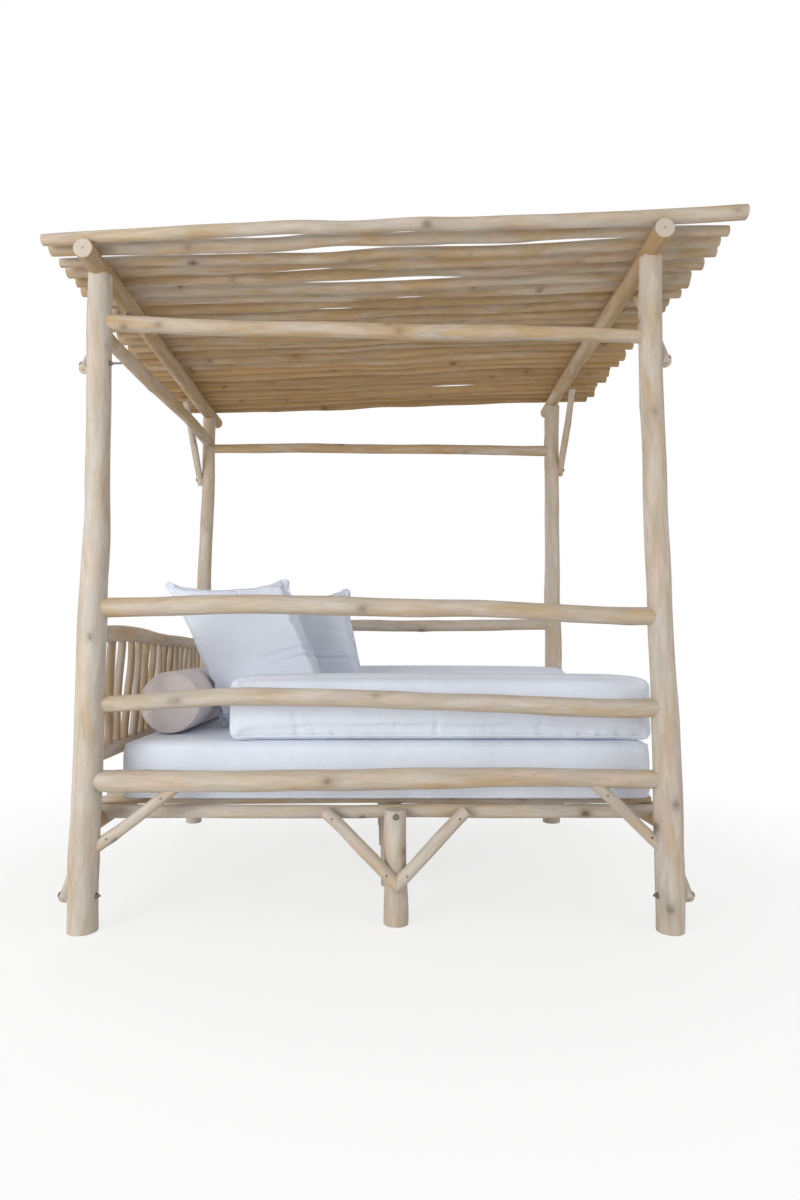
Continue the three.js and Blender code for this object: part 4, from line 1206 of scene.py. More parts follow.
class DAYBED_OT_fittings(bpy.types.Operator):
    """Make the bolts, washers and nuts of the knee braces and the screws of the braces"""

    bl_idname = "daybed.fittings"
    bl_label = "Bolts and screws"

    # Of the lower and of the upper knee: how high over its foot the bolt sits, and how far
    # the rods stand out of the post and of the rail or beam
    bolt_lifts = (0.012, 0.026)
    post_rods = (0.007, 0.034)
    rail_rods = (0.01, 0.04)
    rail_bolt_share = 0.93
    corner_screw_shares = (0.24, 0.78)
    leg_screw_shares = (0.2, 0.9)
    leg_bolt_height = 0.374

    def execute(self, context):
        poles = PoleFrame(context.scene.daybed_poles)
        bolts = []
        for (side, end), post in poles.posts.items():
            bolts += self.post_bolts(poles, side, end, post)
        self.steel_piece(context, "knee_bolts", bolts)
        screws = []
        for side, facing in (("front", -1), ("rear", 1)):
            screws += self.leg_fittings(poles, side, facing)
            for end in ("head", "foot"):
                brace = poles.corner_brace(side, end)
                for share in self.corner_screw_shares:
                    screws.append(self.screw_on(brace, share, (0.0, facing, 0.0)))
        self.steel_piece(context, "brace_screws", screws)
        return {"FINISHED"}

    def steel_piece(self, context, name, forms):
        material = shared_material(context.scene, "bolt_steel")
        piece = mesh_object(name, forms, material, ORIGIN)
        settle(piece, "frame", "bolt_steel")

    def post_bolts(self, poles, side, end, post):
        """Bolts through the ends of both knee braces: a domed head outside, and a nut on
        the end of the rod inside. Under the roof only the front head post's come through."""
        outward = np.array([-1.0 if end == "head" else 1.0, 0.0, 0.0])
        knees = poles.knees(side, end)
        through = (True, (side, end) == ("front", "head"))
        forms = []
        for knee, lift, rod, nut in zip(knees, self.bolt_lifts, self.post_rods, through):
            share, centre = post.crossing(2, knee.start[2] + lift)
            centre = np.array([centre[0], knee.start[1] * 0.6 + centre[1] * 0.4, centre[2]])
            if nut:
                forms += nut_forms(centre - outward * post.radius(share) * 0.985, -outward, rod)
            along = lift / (knee.end[2] - knee.start[2])
            face = knee.centre(along) + outward * knee.radius(along)
            forms += bolt_head_forms(face, outward)
        rails = (poles.side_rails[end], poles.beams[end])
        for knee, rail, rod, nut in zip(knees, rails, self.rail_rods, through):
            spot = knee.centre(self.rail_bolt_share)
            face = spot + outward * knee.radius(self.rail_bolt_share)
            forms += bolt_head_forms(face, outward)
            share, centre = rail.crossing(1, spot[1])
            drop = face[2] - centre[2]
            reach = math.sqrt(max(rail.radius(share) ** 2 - drop**2, 1e-6))
            inner = np.array([centre[0], centre[1], face[2]]) - outward * reach
            if nut:
                forms += nut_forms(inner, -outward, rod)
        return forms

    def screw_on(self, pole, share, facing):
        along, _, _ = pole.axes()
        facing = np.array(facing, float)
        facing = facing - along * (facing @ along)
        facing = facing / np.linalg.norm(facing)
        place = pole.centre(share) + facing * pole.radius(share) * 1.005
        return screw_form(place, facing)

    def leg_fittings(self, poles, side, facing):
        leg = poles.centre_leg(side, facing)
        share, centre = leg.crossing(2, self.leg_bolt_height)
        face = centre + np.array([0.0, facing * leg.radius(share), 0.0])
        forms = bolt_head_forms(face, (0.0, facing, 0.0))
        for way in (-1, 1):
            brace = poles.v_brace(facing, way)
            for share in self.leg_screw_shares:
                forms.append(self.screw_on(brace, share, (0.0, facing, 0.0)))
        return forms


# Soft pieces

CLOTH_MASS = 0.3
CLOTH_STIFFNESS = 14
CLOTH_SHEAR = 6
CLOTH_BENDING = 0.35
CLOTH_FRAMES = 20

FOLD_SAMPLES = 80
FOLD_ROUNDS = 24
FOLD_FADE = 0.6
SEAM_ROUNDS = 6


class Slab:
    """A cushion's form: a box with rounded edges, domed above and below its middle, whose
    sides are pulled in between its corners and whose top may slump sideways."""

    def __init__(self, size, edge, crown, fullness=0.5, pull=0.0, slump=0.0, tilt=0.0,
                 flat_base=False):
        self.size = np.array(size, float)
        self.edge = edge
        self.crown = crown
        self.fullness = fullness
        self.pull_x, self.pull_y = np.broadcast_to(pull, 2)
        self.slump = slump
        self.tilt = tilt
        self.flat_base = flat_base

    def shaped(self, spots):
        """Points of the box's surface, moved onto the cushion.

        The edges: core + edge radius times the direction from the core, where the core
        is the point clamped to a smaller box. The dome: crown times (cos x cos y) to a
        power, times the level. The pull: each side moves in by a cosine of the other way.
        """
        half = self.size / 2
        core = np.clip(spots, self.edge - half, half - self.edge)
        away = spots - core
        away = away / np.linalg.norm(away, axis=-1, keepdims=True)
        x, y, z = np.moveaxis(core + away * self.edge, -1, 0)
        length, depth, thickness = self.size
        across_x = np.cos(np.pi * x / length)
        across_y = np.cos(np.pi * y / depth)
        dome = self.crown * np.maximum(across_x * across_y, 0) ** self.fullness
        rise = 2 * z / thickness * dome
        if self.flat_base:
            rise = np.where(z < 0, 0, rise)
        return np.stack(
            [
                x * (1 - 2 * self.pull_x * across_y / length) - self.slump * y / depth,
                y * (1 - 2 * self.pull_y * across_x / depth) + self.tilt * x / length,
                z + rise,
            ],
            axis=-1,
        )

    def form(self, step):
        """The whole surface, from six grids whose shared edges are welded."""
        counts = np.maximum(np.round(self.size / step), 4).astype(int)
        cells, corners = [], []
        total = 0
        for axis in range(3):
            first, second = (axis + 1) % 3, (axis + 2) % 3
            u, v = np.meshgrid(
                np.arange(counts[first] + 1), np.arange(counts[second] + 1), indexing="ij"
            )
            index = np.arange(u.size).reshape(u.shape)
            quads = np.stack(
                [index[:-1, :-1], index[1:, :-1], index[1:, 1:], index[:-1, 1:]], axis=-1
            ).reshape(-1, 4)
            for high in (False, True):
                spot = np.zeros((u.size, 3), int)
                spot[:, axis] = counts[axis] if high else 0
                spot[:, first] = u.ravel()
                spot[:, second] = v.ravel()
                corners.append(spot)
                cells.append((quads if high else quads[:, ::-1]) + total)
                total += u.size
        every = np.concatenate(corners)
        unique, index = np.unique(every, axis=0, return_inverse=True)
        spots = (unique / counts - 0.5) * self.size
        return {
            "points": self.shaped(spots),
            "quads": index.ravel()[np.concatenate(cells)],
            "triangles": np.zeros((0, 3), int),
        }

    def fold_line(self, first, last):
        """A wavy line on the cushion between two places given as shares of half the box."""
        share = np.linspace(0, 1, FOLD_SAMPLES)[:, None]
        spots = (first + share * (last - first)) * self.size / 2
        wave = 0.006 * np.sin(spots[:, [1, 2, 0]] * 37.0 + [0.4, 1.9, 3.1])
        wave[:, np.abs(first) > 0.999] = 0
        half = self.size / 2
        return self.shaped(np.clip(spots + wave, -half, half))

    def seam(self, level, step=0.006):
        """A closed line round the cushion, at a level from -1 to 1 of its thickness."""
        length, depth, thickness = self.size
        corners = np.array([[-1, -1], [1, -1], [1, 1], [-1, 1], [-1, -1]]) / 2
        sides = []
        for start, end in zip(corners[:-1], corners[1:]):
            span = float(np.abs((end - start) * [length, depth]).max())
            share = np.arange(int(span / step)) / int(span / step)
            sides.append(start + np.outer(share, end - start))
        flat = np.concatenate(sides) * [length, depth]
        upright = np.full((len(flat), 1), level * thickness / 2)
        return self.shaped(np.hstack([flat, upright]))


def corner_folds(seed, reach, depth):
    """Folds that fan out from the corners of a pillow, on both faces, and short ones that
    run in from its seam."""
    rng = np.random.default_rng(seed)
    folds = []
    for face in (-1, 1):
        for x in (-1, 1):
            for y in (-1, 1):
                for spread in (-0.42, -0.12, 0.2, 0.5):
                    angle = np.pi / 4 + spread + rng.uniform(-0.1, 0.1)
                    run = reach * rng.uniform(0.55, 1.2)
                    last = [x * (0.95 - run * np.cos(angle)), y * (0.95 - run * np.sin(angle))]
                    size = (rng.uniform(0.009, 0.014), depth * rng.uniform(0.6, 1.2))
                    first = np.array([x * 0.95, y * 0.95, face])
                    folds.append((first, np.array([*last, face]), size))
        for side in range(4):
            for along in np.arange(-0.75, 0.8, 0.3) + rng.uniform(-0.1, 0.1):
                run = rng.uniform(0.1, 0.32)
                ends = np.array([[along, 0.97], [along + rng.uniform(-0.14, 0.14), 0.97 - run]])
                ends = ends * [1, 1 if side % 2 else -1]
                ends = ends[:, ::-1] if side > 1 else ends
                size = (rng.uniform(0.008, 0.014), 0.6 * depth * rng.uniform(0.4, 1.2))
                folds.append((np.array([*ends[0], face]), np.array([*ends[1], face]), size))
    return folds


def box_folds(seed, depth, lying, upright):
    """Folds of a boxed cushion's sides: faint lying ones, and short upright ones that run
    up from the lower seam."""
    rng = np.random.default_rng(seed)
    folds = []
    for face in (-1, 1):
        for _ in range(lying):
            x, z = rng.uniform(-0.95, 0.6), rng.uniform(-0.7, 0.85)
            last = np.array([x + rng.uniform(0.15, 0.5), face, z + rng.uniform(-0.25, 0.25)])
            size = (rng.uniform(0.009, 0.02), depth * rng.uniform(0.3, 0.9))
            folds.append((np.array([x, face, z]), last, size))
        for x in np.linspace(-0.94, 0.94, upright) + rng.uniform(-0.03, 0.03, upright):
            last = np.array([x + rng.uniform(-0.04, 0.04), face, rng.uniform(-0.6, 0.9)])
            size = (rng.uniform(0.007, 0.014), depth * rng.uniform(0.2, 1.3))
            folds.append((np.array([x, face, -0.98]), last, size))
    return folds


def turned(points, lean, turn, place):
    """Points leaned about X and turned about Z, by angles in degrees, then moved."""
    lean, turn = math.radians(lean), math.radians(turn)
    x, y, z = np.moveaxis(points, -1, 0)
    leaned_y = y * math.cos(lean) - z * math.sin(lean)
    leaned_z = y * math.sin(lean) + z * math.cos(lean)
    turned_x = x * math.cos(turn) - leaned_y * math.sin(turn)
    turned_y = x * math.sin(turn) + leaned_y * math.cos(turn)
    return np.stack([turned_x, turned_y, leaned_z], axis=-1) + np.array(place)


def loop_form(path, radius, outward, sides=8):
    """A round cord along a closed line: point = line + radius times (outward cos a +
    beside sin a), with beside square to the line and to outward."""
    ahead = np.roll(path, -1, axis=0) - np.roll(path, 1, axis=0)
    ahead = ahead / np.linalg.norm(ahead, axis=1, keepdims=True)
    outward = outward - ahead * (outward * ahead).sum(1, keepdims=True)
    outward = outward / np.linalg.norm(outward, axis=1, keepdims=True)
    beside = np.cross(ahead, outward)
    angle = 2 * np.pi * np.arange(sides) / sides
    grid = (
        path[:, None]
        + radius * np.cos(angle)[:, None] * outward[:, None]
        + radius * np.sin(angle)[:, None] * beside[:, None]
    )
    rows = len(path)
    here, there = np.arange(sides), (np.arange(sides) + 1) % sides
    base = (np.arange(rows) * sides)[:, None]
    after = (np.roll(np.arange(rows), -1) * sides)[:, None]
    quads = np.stack([base + here, after + here, after + there, base + there], axis=-1)
    return {
        "points": grid.reshape(-1, 3),
        "quads": quads.reshape(-1, 4)[:, ::-1],
        "triangles": np.zeros((0, 3), int),
    }


def mesh_points(mesh):
    values = np.empty(len(mesh.vertices) * 3, np.float32)
    mesh.vertices.foreach_get("co", values)
    return values.reshape(-1, 3).astype(float)


def mesh_normals(mesh):
    values = np.empty(len(mesh.vertices) * 3, np.float32)
    mesh.vertices.foreach_get("normal", values)
    return values.reshape(-1, 3).astype(float)


def move_points(mesh, points):
    mesh.vertices.foreach_set("co", points.astype(np.float32).ravel())
    mesh.update()


def apply_modifiers(piece):
    """The piece's mesh as its modifiers leave it, and no modifiers."""
    graph = bpy.context.evaluated_depsgraph_get()
    mesh = bpy.data.meshes.new_from_object(piece.evaluated_get(graph))
    before = piece.data
    piece.modifiers.clear()
    piece.data = mesh
    bpy.data.meshes.remove(before)


def fill_cover(context, piece, voxel, pressure, growth, reach):
    """Lets a cover of even cloth swell and fold over its filling: an even mesh of voxels,
    twenty frames of cloth under pressure with a little spare cloth, and no point moved
    further than its reach."""
    remesh = piece.modifiers.new("even_cloth", "REMESH")
    remesh.mode = "VOXEL"
    remesh.voxel_size = voxel
    apply_modifiers(piece)
    before = mesh_points(piece.data)
    cloth = piece.modifiers.new("cover", "CLOTH")
    settings = cloth.settings
    settings.quality = 4
    settings.mass = CLOTH_MASS
    settings.tension_stiffness = CLOTH_STIFFNESS
    settings.compression_stiffness = CLOTH_STIFFNESS
    settings.shear_stiffness = CLOTH_SHEAR
    settings.bending_stiffness = CLOTH_BENDING
    settings.use_pressure = True
    settings.uniform_pressure_force = pressure
    settings.shrink_min = -growth
    settings.effector_weights.gravity = 0.0
    scene = context.scene
    for number in range(1, CLOTH_FRAMES + 1):
        scene.frame_set(number)
    apply_modifiers(piece)
    scene.frame_set(1)
    moved = mesh_points(piece.data) - before
    far = np.linalg.norm(moved, axis=1, keepdims=True)
    moved = moved * np.minimum(1, reach / np.maximum(far, 1e-9))
    move_points(piece.data, before + moved)


def nearest(points, targets, block=4000):
    """The index of the nearest target of each point, and its distance."""
    found, far = [], []
    for start in range(0, len(points), block):
        part = points[start:start + block]
        square = (part ** 2).sum(1)[:, None] - 2 * part @ targets.T + (targets ** 2).sum(1)
        index = square.argmin(1)
        found.append(index)
        far.append(np.sqrt(np.maximum(square[np.arange(len(part)), index], 0)))
    return np.concatenate(found), np.concatenate(far)


def fold_cover(piece, lines):
    """Presses folds into a cover. Each is a line with a width and a depth, and is first
    laid onto the cover's nearest points and smoothed.

    Inward move = depth times (1 - 1.2 d^2) e^(-d^2), with d the distance over the width,
    so that a low ridge runs along each side, and it fades from the line's first point.
    """
    points = mesh_points(piece.data)
    normals = mesh_normals(piece.data)
    inward = np.zeros(len(points))
    for line, width, depth in lines:
        low, high = line.min(0) - 3 * width - 0.03, line.max(0) + 3 * width + 0.03
        close = np.flatnonzero(((points > low) & (points < high)).all(1))
        if not len(close):
            continue
        laid = points[close][nearest(line, points[close])[0]]
        for _ in range(FOLD_ROUNDS):
            laid[1:-1] = 0.5 * laid[1:-1] + 0.25 * (laid[:-2] + laid[2:])
        index, far = nearest(points[close], laid)
        share = index / (len(laid) - 1)
        far = np.maximum(far - 0.002, 0) / width
        dent = depth * (1 - 1.2 * far**2) * np.exp(-(far**2))
        inward[close] += dent * (1 - share) ** FOLD_FADE
    move_points(piece.data, points - normals * inward[:, None])


def smooth_loop(path, rounds):
    """A closed line whose points are moved towards their neighbours' mean."""
    for _ in range(rounds):
        path = 0.5 * path + 0.25 * (np.roll(path, 1, axis=0) + np.roll(path, -1, axis=0))
    return path


def sewn_seam(piece, path, seed, depth=0.003, width=0.009, pucker=0.0025):
    """Draws the cover in along a seam, with puckers that run away from it, and gives the
    seam's line on the finished cover with its outward directions.

    Inward move = depth times a bell of the distance, plus pucker times a wider bell times
    the positive part of five sines along the seam.
    """
    rng = np.random.default_rng(seed)
    mesh = piece.data
    points = mesh_points(mesh)
    normals = mesh_normals(mesh)
    index, _ = nearest(path, points)
    line = smooth_loop(points[index], SEAM_ROUNDS)
    outward = smooth_loop(normals[index], SEAM_ROUNDS)
    near, far = nearest(points, line)
    steps = np.linalg.norm(np.roll(line, -1, axis=0) - line, axis=1)
    laps = 2 * np.pi * (np.cumsum(steps) - steps[0]) / steps.sum()
    counts = np.round(steps.sum() / rng.uniform(0.03, 0.085, 5))
    waves = np.sin(counts[:, None] * laps + rng.uniform(0, 6.28, 5)[:, None])
    strength = np.maximum(waves.sum(0) / 2, 0)
    inward = depth * np.exp(-((far / width) ** 2))
    inward = inward + pucker * strength[near] * np.exp(-((far / (2.6 * width)) ** 2))
    move_points(mesh, points - normals * inward[:, None])
    line = line - outward * (depth * 0.7)
    return line, outward


def resting_middle(low, high, thickness):
    """The middle of a piece of a thickness that rests on the floor of a box."""
    return np.array([(low.x + high.x) / 2, (low.y + high.y) / 2, low.z + thickness / 2])


def lay_down(piece, height):
    """Flat where it rests: no point is lower than what carries it."""
    points = mesh_points(piece.data)
    points[:, 2] = np.maximum(points[:, 2], height)
    move_points(piece.data, points)


def soft_piece(context, name, form, slot, offset):
    material = shared_material(context.scene, slot)
    return mesh_object(name, [form], material, offset)


def finish_soft(piece, body, slot, seams, radius):
    """One subdivision, the piped seams, and what the piece rides on and stands for."""
    smooth = piece.modifiers.new("smooth", "SUBSURF")
    smooth.levels = 1
    smooth.render_levels = 1
    apply_modifiers(piece)
    piece.data.shade_smooth()
    settle(piece, body, slot, body)
    if seams:
        forms = [loop_form(line, radius, outward) for line, outward in seams]
        material = piece.data.materials[0]
        piping = mesh_object(f"{piece.name}_piping", forms, material, np.zeros(3))
        settle(piping, body, slot)


class DAYBED_OT_mattress(bpy.types.Operator):
    """Make the mattress: a boxed foam slab with piped edges"""

    bl_idname = "daybed.mattress"
    bl_label = "Mattress"

    def execute(self, context):
        soft = context.scene.daybed_soft
        low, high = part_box("mattress")
        size = np.array(high - low) - [0.006, 0.006, 0.004]
        slab = Slab(size, edge=0.03, crown=0.002, fullness=0.2, flat_base=True)
        middle = resting_middle(low, high, size[2])
        piece = soft_piece(context, "mattress_cover", slab.form(0.014), "white_canvas", middle)
        fill_cover(
            context, piece, voxel=0.015, pressure=soft.box_pressure, growth=0.01, reach=0.004
        )
        folds = box_folds(seed=11, depth=0.003, lying=18, upright=26)
        fold_cover(piece, [(slab.fold_line(*ends) + middle, *size) for *ends, size in folds])
        seams = []
        for level in (1, -1):
            line = slab.seam(level) + middle
            seams.append(
                sewn_seam(piece, line, seed=5 + level, depth=0.002, width=0.012, pucker=0.0018)
            )
        points = mesh_points(piece.data)
        points[:, 2] = np.clip(points[:, 2], low.z, high.z)
        move_points(piece.data, points)
        finish_soft(piece, "mattress", "white_canvas", seams, soft.piping_radius)
        return {"FINISHED"}


class DAYBED_OT_back_cushions(bpy.types.Operator):
    """Make the two long back cushions, with puckered seams below"""

    bl_idname = "daybed.back_cushions"
    bl_label = "Back cushions"

    def execute(self, context):
        soft = context.scene.daybed_soft
        for side, seed, spare in (("front", 21, 0.025), ("rear", 22, 0.015)):
            name = f"back_cushion_{side}"
            low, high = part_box(name)
            size = np.array(high - low) - [0.006, 0.006, spare]
            slab = Slab(size, edge=0.025, crown=0.011, fullness=0.5, pull=0.006, flat_base=True)
            middle = resting_middle(low, high, size[2])
            form = slab.form(0.011)
            piece = soft_piece(context, f"{name}_cover", form, "white_canvas", middle)
            fill_cover(
                context, piece, voxel=0.0085, pressure=soft.box_pressure, growth=0.012,
                reach=soft.box_reach,
            )
            folds = box_folds(seed, depth=0.0045, lying=10, upright=9)
            fold_cover(piece, [(slab.fold_line(*ends) + middle, *size) for *ends, size in folds])
            line = slab.seam(-1) + middle
            seams = [sewn_seam(piece, line, seed, depth=0.003, width=0.008, pucker=0.0035)]
            lay_down(piece, low.z)
            finish_soft(piece, name, "white_canvas", seams, soft.piping_radius * 0.8)
        return {"FINISHED"}


class DAYBED_OT_bolster(bpy.types.Operator):
    """Make the round bolster with its piped ends"""

    bl_idname = "daybed.bolster"
    bl_label = "Bolster"

    def execute(self, context):
        soft = context.scene.daybed_soft
        low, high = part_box("bolster")
        radius = (high.z - low.z) / 2 - 0.004
        half = (high.y - low.y) / 2 - 0.004
        edge, dome = 0.018, 0.012
        flat = np.linspace(0, radius - edge, 16)
        turn = np.linspace(0, np.pi / 2, 8)[1:]
        cheek = half - dome - edge
        side = np.linspace(cheek, 0, 40)[1:]
        end = np.concatenate([
            np.stack([flat, half - dome * (flat / flat[-1]) ** 2], axis=-1),
            np.stack([radius - edge + edge * np.sin(turn), cheek + edge * np.cos(turn)], axis=-1),
            np.stack([radius + 0.003 * np.cos(np.pi * side / half / 2) ** 2, side], axis=-1),
        ])
        outline = np.concatenate([end * [1, -1], end[-2::-1]])
        middle = np.array((low + high) / 2)
        form = lathe_form(outline, 96, np.zeros(3), (0.0, 1.0, 0.0))
        piece = soft_piece(context, "bolster_cover", form, "sand_canvas", middle)
        fill_cover(
            context, piece, voxel=0.0075, pressure=soft.box_pressure, growth=0.02, reach=0.006
        )
        angle = 2 * np.pi * np.arange(120) / 120
        seams = []
        for facing in (-1, 1):
            level = np.full(len(angle), facing * (half - dome))
            wide = radius - 0.004
            line = np.stack([wide * np.cos(angle), level, wide * np.sin(angle)], axis=-1)
            line = line + middle
            seams.append(
                sewn_seam(piece, line, seed=31 + facing, depth=0.002, width=0.008, pucker=0.003)
            )
        lay_down(piece, low.z)
        finish_soft(piece, "bolster", "sand_canvas", seams, soft.piping_radius)
        return {"FINISHED"}


class DAYBED_OT_pillows(bpy.types.Operator):
    """Make the two square pillows that stand on the mattress"""

    bl_idname = "daybed.pillows"
    bl_label = "Pillows"

    size = (0.55, 0.63, 0.028)

    def execute(self, context):
        sags = [
            (np.array([0.97, 0.02, 1]), np.array([0.0, -0.18, 1]), (0.014, 0.013)),
            (np.array([0.97, -0.1, 1]), np.array([0.2, -0.24, 1]), (0.011, 0.010)),
            (np.array([0.97, 0.14, 1]), np.array([0.4, 0.05, 1]), (0.011, 0.008)),
            (np.array([-0.97, 0.75, 1]), np.array([-0.3, 0.5, 1]), (0.016, 0.009)),
            (np.array([0.2, 0.97, 1]), np.array([0.05, 0.45, 1]), (0.013, 0.008)),
        ]
        self.stand(
            context, "pillow_front", (0.485, -0.195), {"slump": 0.29, "tilt": 0.02},
            turn=-6, lean=8, seed=41, sags=sags,
        )
        sags = [
            (np.array([0.98, -0.1, 1]), np.array([-0.5, -0.16, 1]), (0.0095, 0.014)),
            (np.array([0.98, 0.25, 1]), np.array([0.3, 0.36, 1]), (0.012, 0.009)),
        ]
        self.stand(
            context, "pillow_rear", (0.677, 0.165), {"slump": 0.144, "tilt": 0.0},
            turn=-9, lean=8, seed=42, sags=sags,
        )
        return {"FINISHED"}

    def stand(self, context, name, place, sag, turn, lean, seed, sags):
        soft = context.scene.daybed_soft
        low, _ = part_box(name)
        slab = Slab(
            self.size, edge=0.014, crown=0.05, fullness=0.6, pull=(0.0, 0.017), **sag
        )
        spot = ORIGIN + [place[0] - context.scene.daybed_poles.spacing_length / 2, place[1], 0]
        form = slab.form(0.009)
        upright = turned(form["points"], 90 - lean, turn, spot)
        spot[2] = low.z + 0.004 - upright[:, 2].min()
        form["points"] = turned(form["points"], 90 - lean, turn, spot)
        piece = soft_piece(context, f"{name}_cover", form, "white_canvas", np.zeros(3))
        fill_cover(
            context, piece, voxel=0.0062, pressure=soft.pillow_pressure,
            growth=soft.cloth_growth, reach=soft.pillow_reach,
        )
        lines = []
        for *ends, size in corner_folds(seed, reach=0.5, depth=0.0085) + sags:
            lines.append((turned(slab.fold_line(*ends), 90 - lean, turn, spot), *size))
        fold_cover(piece, lines)
        line = turned(slab.seam(0), 90 - lean, turn, spot)
        path, outward = sewn_seam(piece, line, seed, depth=0.001, width=0.008, pucker=0.003)
        points = self.clear_of_bolster(mesh_points(piece.data))
        points[:, 2] = np.maximum(points[:, 2], low.z)
        move_points(piece.data, points)
        path[:, 2] = np.maximum(path[:, 2], low.z + soft.piping_radius)
        finish_soft(piece, name, "white_canvas", [(path, outward)], soft.piping_radius * 0.6)

    def clear_of_bolster(self, points):
        """Points that the bolster would take are pushed out to its skin, square to it."""
        low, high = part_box("bolster")
        middle = np.array([(low.x + high.x) / 2, (low.z + high.z) / 2])
        reach = (high.z - low.z) / 2 + 0.003
        flat = points[:, [0, 2]] - middle
        far = np.linalg.norm(flat, axis=1)
        beside = (points[:, 1] > low.y - 0.01) & (points[:, 1] < high.y + 0.01)
        inside = beside & (far < reach)
        push = np.where(inside, reach / np.maximum(far, 1e-9), 1.0)
        moved = points.copy()
        moved[:, [0, 2]] = middle + flat * push[:, None]
        return moved


# Stage


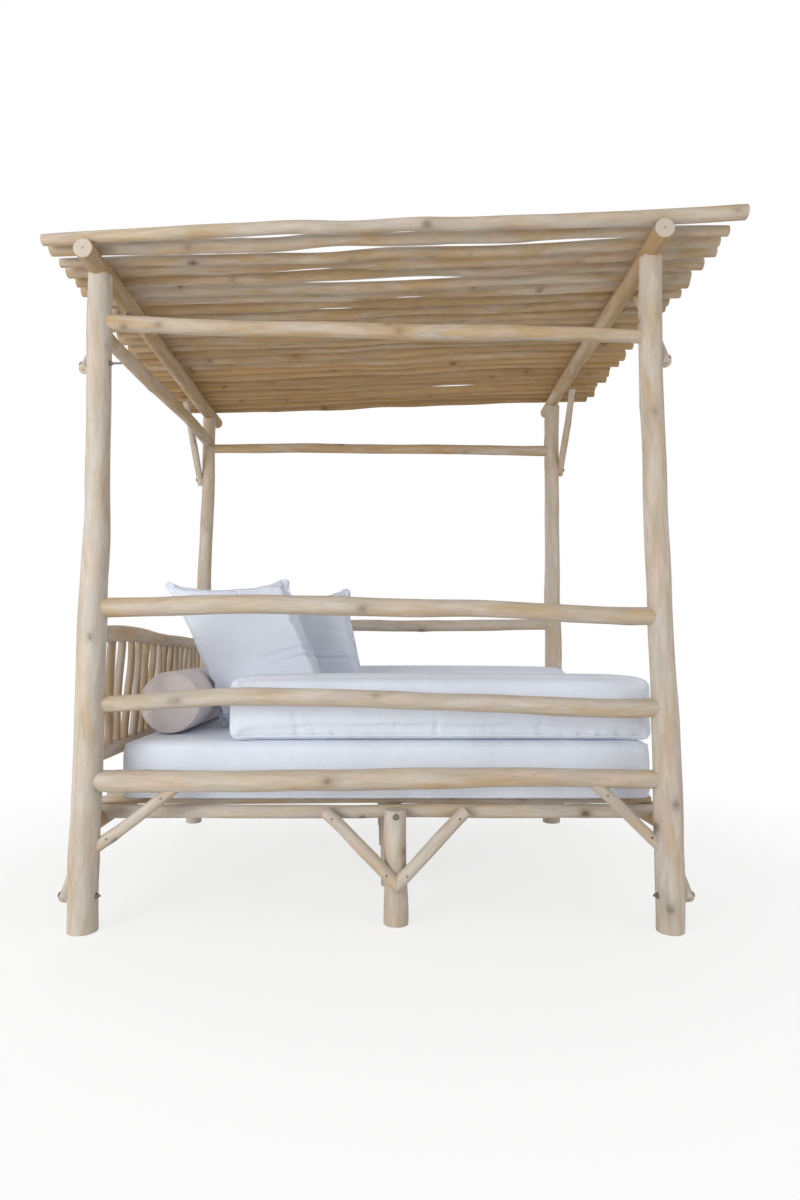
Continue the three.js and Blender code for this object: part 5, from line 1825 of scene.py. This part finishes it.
class DAYBED_OT_stage(bpy.types.Operator):
    """Make the floor, the lights, the white surroundings and the camera"""

    bl_idname = "daybed.stage"
    bl_label = "Stage"

    floor_radius = 14.0
    floor_sides = 64
    shadow_reach = 1.2
    white_reach = 2.8
    shadow_white = 0.76
    floor_colour = (0.88, 0.87, 0.85, 1.0)
    lamp_size = 3.0
    lamp_target = (0.0, 0.0, 0.9)

    def execute(self, context):
        scene = context.scene
        settings = scene.daybed_stage
        self.make_camera(scene, settings)
        self.make_floor(scene)
        self.make_surroundings(scene, settings)
        self.make_light(scene, "key_light", (-3.9, -5.1, 1.85), settings.key_power)
        self.make_light(scene, "fill_light", (4.2, -3.6, 2.2), settings.fill_power)
        self.make_light(scene, "rear_light", (-2.4, 5.6, 1.6), settings.rear_power)
        scene.view_settings.view_transform = "Standard"
        return {"FINISHED"}

    def make_camera(self, scene, settings):
        data = bpy.data.cameras.new("camera")
        data.lens = settings.lens
        data.sensor_width = 36.0
        data.shift_x = settings.shift
        camera = bpy.data.objects.new("camera", data)
        camera.location = Vector(settings.eye) + Vector(ORIGIN)
        camera.rotation_euler = (math.radians(90) + settings.pitch, 0.0, 0.0)
        scene.collection.objects.link(camera)
        scene.camera = camera

    def make_floor(self, scene):
        """A wide disc, flat at height zero: point = radius times cosine and sine."""
        angle = 2 * np.pi * np.arange(self.floor_sides) / self.floor_sides
        rim = self.floor_radius * np.stack([np.cos(angle), np.sin(angle), 0 * angle], axis=-1)
        mesh = bpy.data.meshes.new("floor")
        mesh.from_pydata(rim, [], [list(range(self.floor_sides))])
        floor = bpy.data.objects.new("floor", mesh)
        scene.collection.objects.link(floor)
        material, tree, shader = new_material("floor")
        shader.inputs["Base Color"].default_value = self.floor_colour
        shader.inputs["Roughness"].default_value = 0.9
        shader.inputs["Specular IOR Level"].default_value = 0.1
        place = add_node(tree, "ShaderNodeTexCoord").outputs["Object"]
        far = add_node(tree, "ShaderNodeVectorMath", {"Vector": place}, operation="LENGTH")
        reach = (self.shadow_reach, self.white_reach)
        fade = remap(tree, far.outputs["Value"], *reach, self.shadow_white, 1.0)
        rays = self.seen_directly(tree)
        white = add_node(
            tree, "ShaderNodeEmission", {"Color": (1.0, 1.0, 1.0, 1.0), "Strength": 1.0}
        )
        mix = add_node(tree, "ShaderNodeMixShader")
        feed(tree, mix, {"Fac": calculate(tree, "MULTIPLY", fade, rays)})
        tree.links.new(shader.outputs[0], mix.inputs[1])
        tree.links.new(white.outputs[0], mix.inputs[2])
        tree.links.new(mix.outputs[0], tree.nodes["Material Output"].inputs["Surface"])
        mesh.materials.append(material)

    def seen_directly(self, tree):
        """1 for camera, glossy and transmission rays, 0 for the light itself."""
        path = add_node(tree, "ShaderNodeLightPath")
        shown = calculate(
            tree, "MAXIMUM", path.outputs["Is Camera Ray"], path.outputs["Is Glossy Ray"]
        )
        return calculate(tree, "MAXIMUM", shown, path.outputs["Is Transmission Ray"])

    def make_surroundings(self, scene, settings):
        world = bpy.data.worlds.new("surroundings")
        scene.world = world
        world.use_nodes = True
        tree = world.node_tree
        tree.nodes.clear()
        light = add_node(
            tree, "ShaderNodeBackground",
            {"Color": (0.97, 0.98, 1.0, 1.0), "Strength": settings.sky_strength},
        )
        white = add_node(
            tree, "ShaderNodeBackground", {"Color": (1.0, 1.0, 1.0, 1.0), "Strength": 1.0}
        )
        mix = add_node(tree, "ShaderNodeMixShader", {"Fac": self.seen_directly(tree)})
        tree.links.new(light.outputs[0], mix.inputs[1])
        tree.links.new(white.outputs[0], mix.inputs[2])
        output = add_node(tree, "ShaderNodeOutputWorld")
        tree.links.new(mix.outputs[0], output.inputs["Surface"])

    def make_light(self, scene, name, place, power):
        data = bpy.data.lights.new(name, "AREA")
        data.shape = "DISK"
        data.size = self.lamp_size
        data.energy = power
        lamp = bpy.data.objects.new(name, data)
        lamp.location = place
        away = Vector(place) - Vector(self.lamp_target)
        lamp.rotation_euler = away.to_track_quat("Z", "Y").to_euler()
        scene.collection.objects.link(lamp)


class DAYBED_PT_panel(bpy.types.Panel):
    """Lists the pieces of the daybed and their sizes and colours"""

    bl_idname = "DAYBED_PT_panel"
    bl_label = "Pole daybed"
    bl_space_type = "VIEW_3D"
    bl_region_type = "UI"
    bl_category = "Daybed"

    def draw(self, context):
        layout = self.layout
        for operator in OPERATORS:
            layout.operator(operator.bl_idname)
        for group in GROUPS:
            box = layout.box()
            box.label(text=GROUPS[group].__doc__.strip())
            settings = getattr(context.scene, group)
            for name in settings.__annotations__:
                box.prop(settings, name)


GROUPS = {
    "daybed_poles": DaybedPoleSizes,
    "daybed_soft": DaybedSoftSizes,
    "daybed_finishes": DaybedFinishes,
    "daybed_stage": DaybedStage,
}
OPERATORS = (
    DAYBED_OT_stage,
    DAYBED_OT_fittings,
    DAYBED_OT_mattress,
    DAYBED_OT_back_cushions,
    DAYBED_OT_bolster,
    DAYBED_OT_pillows,
    DAYBED_OT_posts,
    DAYBED_OT_roof,
    DAYBED_OT_rails,
    DAYBED_OT_headboard,
    DAYBED_OT_bed_base,
)


def register():
    for each in (*GROUPS.values(), *OPERATORS, DAYBED_PT_panel):
        bpy.utils.register_class(each)
    for name, group in GROUPS.items():
        setattr(bpy.types.Scene, name, bpy.props.PointerProperty(type=group))


def unregister():
    for name in GROUPS:
        delattr(bpy.types.Scene, name)
    for each in reversed((*GROUPS.values(), *OPERATORS, DAYBED_PT_panel)):
        bpy.utils.unregister_class(each)


def main():
    register()
    for operator in OPERATORS:
        group, name = operator.bl_idname.split(".")
        getattr(getattr(bpy.ops, group), name)()


if __name__ == "__main__":
    main()
